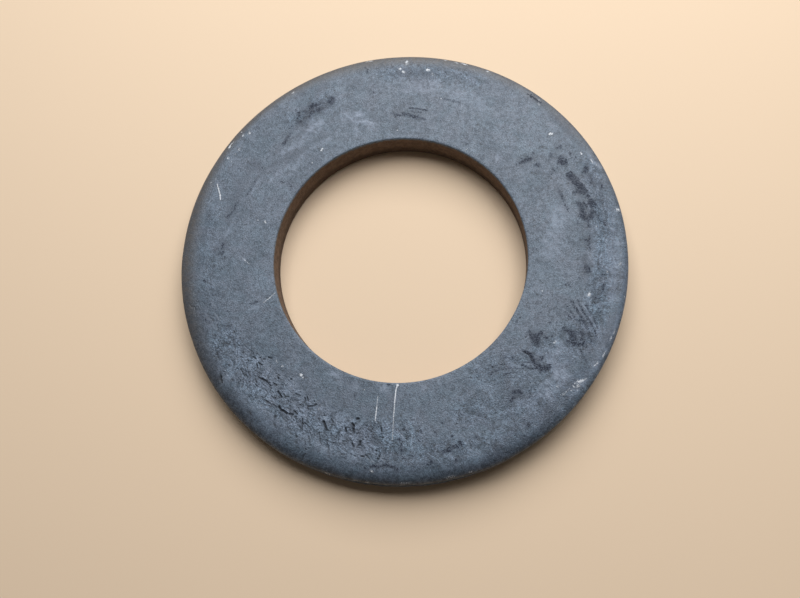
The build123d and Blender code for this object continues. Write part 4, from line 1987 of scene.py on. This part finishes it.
    def relief(self, bench: SteelBench, cuts: Socket) -> Socket:
        """The fine relief of the scale, rougher where it is coarse.

        Args:
            bench: where the nodes are set out.
            cuts: the mask of the cuts in the flaked scale.

        Returns:
            The normal.
        """
        grain = bench.grain
        relief = bench.maths(
            "ADD", bench.times(grain[Grain.SPECKLE], 0.7), bench.times(grain[Grain.DUST], 0.3)
        )
        crumbs = bench.maths("ADD", grain[Grain.GRIT], bench.times(grain[Grain.CRISP], 0.6))
        rough = bench.times(crumbs, bench.weight[Weight.COARSE])
        relief = bench.maths("ADD", relief, bench.times(rough, 1.7))
        relief = bench.maths("SUBTRACT", relief, bench.times(cuts, 2.0))
        bump = bench.node("ShaderNodeBump")
        bump.inputs["Strength"].default_value = self.bump
        bump.inputs["Distance"].default_value = self.bump_depth * MM
        bench.feed(bump.inputs["Height"], relief)
        return bump.outputs[0]


@dataclass
class Studio:
    """The floor, the soft light and the camera.

    Attributes:
        floor: colour of the floor.
        floor_reach: its radius, in metres.
        floor_sides: how many sides its round edge has.
        floor_gap: how far under the washer it lies, in millimetres.
        floor_rough: its roughness.
        floor_shine: its specular level.
        backdrop: colour of the backdrop behind it.
        lamp_place: where the large soft lamp hangs, in metres.
        lamp_size: its width and height, in metres.
        lamp_watts: its power.
        fill: strength of the even light from all round.
        fill_tint: its colour.
        eye: where the camera stands, in millimetres.
        tilt: its turn about X and then about Y, in radians.
        lens: its focal length, in millimetres.
        sensor: the width of its sensor, in millimetres.
        nearest: the nearest thing that it sees, in metres.
    """

    floor: Colour = (0.80, 0.63, 0.46, 1.0)
    floor_reach: float = 0.3
    floor_sides: int = 160
    floor_gap: float = 0.02
    floor_rough: float = 0.9
    floor_shine: float = 0.2
    backdrop: Colour = (0.84, 0.76, 0.66, 1.0)
    lamp_place: tuple[float, float, float] = (0.038, 0.235, 0.316)
    lamp_size: Point = (0.40, 0.40)
    lamp_watts: float = 2.44
    fill: float = 0.07
    fill_tint: Colour = (1.0, 0.88, 0.77, 1.0)
    eye: tuple[float, float, float] = (15.74, -51.32, 168.46)
    tilt: Point = (0.2538, 0.0915)
    lens: float = 36.14
    sensor: float = 36.0
    nearest: float = 0.005

    def build(self) -> None:
        """Sets up the floor, the light, the camera and the colour settings."""
        self.lay_floor()
        self.hang_lamp()
        self.light_room()
        self.stand_camera()
        settings = bpy.context.scene.view_settings
        settings.view_transform = "Standard"

    def lay_floor(self) -> None:
        """Lays a round, plain, pale floor just under the washer."""
        shape = bmesh.new()
        bmesh.ops.create_circle(
            shape, cap_ends=True, segments=self.floor_sides, radius=self.floor_reach
        )
        bmesh.ops.translate(shape, verts=shape.verts, vec=(0.0, 0.0, -self.floor_gap * MM))
        mesh = bpy.data.meshes.new("floor")
        shape.to_mesh(mesh)
        shape.free()
        floor = bpy.data.objects.new("floor", mesh)
        bpy.context.scene.collection.objects.link(floor)
        paint = bpy.data.materials.new("floor_paint")
        paint.use_nodes = True
        shader = paint.node_tree.nodes["Principled BSDF"]
        shader.inputs["Base Color"].default_value = self.floor
        shader.inputs["Roughness"].default_value = self.floor_rough
        shader.inputs["Specular IOR Level"].default_value = self.floor_shine
        mesh.materials.append(paint)

    def hang_lamp(self) -> None:
        """Hangs one large soft lamp behind and above the washer."""
        light = bpy.data.lights.new("soft_lamp", "AREA")
        light.shape = "RECTANGLE"
        light.size, light.size_y = self.lamp_size
        light.energy = self.lamp_watts
        lamp = bpy.data.objects.new("soft_lamp", light)
        lamp.location = self.lamp_place
        lamp.rotation_euler = (-Vector(self.lamp_place)).to_track_quat("-Z", "Y").to_euler()
        bpy.context.scene.collection.objects.link(lamp)

    def light_room(self) -> None:
        """Gives the room an even weak light and the backdrop its plain colour."""
        world = bpy.data.worlds.new("room")
        bpy.context.scene.world = world
        world.use_nodes = True
        bench = Bench(world.node_tree)
        world.node_tree.nodes.clear()
        fill = bench.node("ShaderNodeBackground")
        fill.inputs["Color"].default_value = self.fill_tint
        fill.inputs["Strength"].default_value = self.fill
        seen = bench.node("ShaderNodeBackground")
        seen.inputs["Color"].default_value = self.backdrop
        ray = bench.node("ShaderNodeLightPath").outputs["Is Camera Ray"]
        choice = bench.node("ShaderNodeMixShader")
        bench.feed(choice.inputs[0], ray)
        bench.feed(choice.inputs[1], fill.outputs[0])
        bench.feed(choice.inputs[2], seen.outputs[0])
        out = bench.node("ShaderNodeOutputWorld")
        bench.feed(out.inputs["Surface"], choice.outputs[0])

    def stand_camera(self) -> None:
        """Stands the camera above the near side, looking down."""
        view = bpy.data.cameras.new("camera")
        view.lens = self.lens
        view.sensor_width = self.sensor
        view.clip_start = self.nearest
        camera = bpy.data.objects.new("camera", view)
        camera.location = Vector(self.eye) * MM
        about_x = Matrix.Rotation(self.tilt[0], 3, "X")
        about_y = Matrix.Rotation(self.tilt[1], 3, "Y")
        camera.rotation_euler = (about_x @ about_y).to_euler()
        bpy.context.scene.collection.objects.link(camera)
        bpy.context.scene.camera = camera


def main() -> None:
    """Builds the washer and the studio round it."""
    logging.basicConfig(level=logging.INFO, format="%(name)s: %(message)s")
    ring = WasherRing().build()
    ring.data.materials.append(ScaledSteel().material())
    for face in ring.data.polygons:
        face.use_smooth = True
    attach(ring, "root")
    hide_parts("washer")
    ring.data.calc_loop_triangles()
    LOG.info("%s: %d triangles", ring.name, len(ring.data.loop_triangles))
    Studio().build()
    LOG.info("studio: floor, soft lamp, room light and camera")


if __name__ == "__main__":
    main()
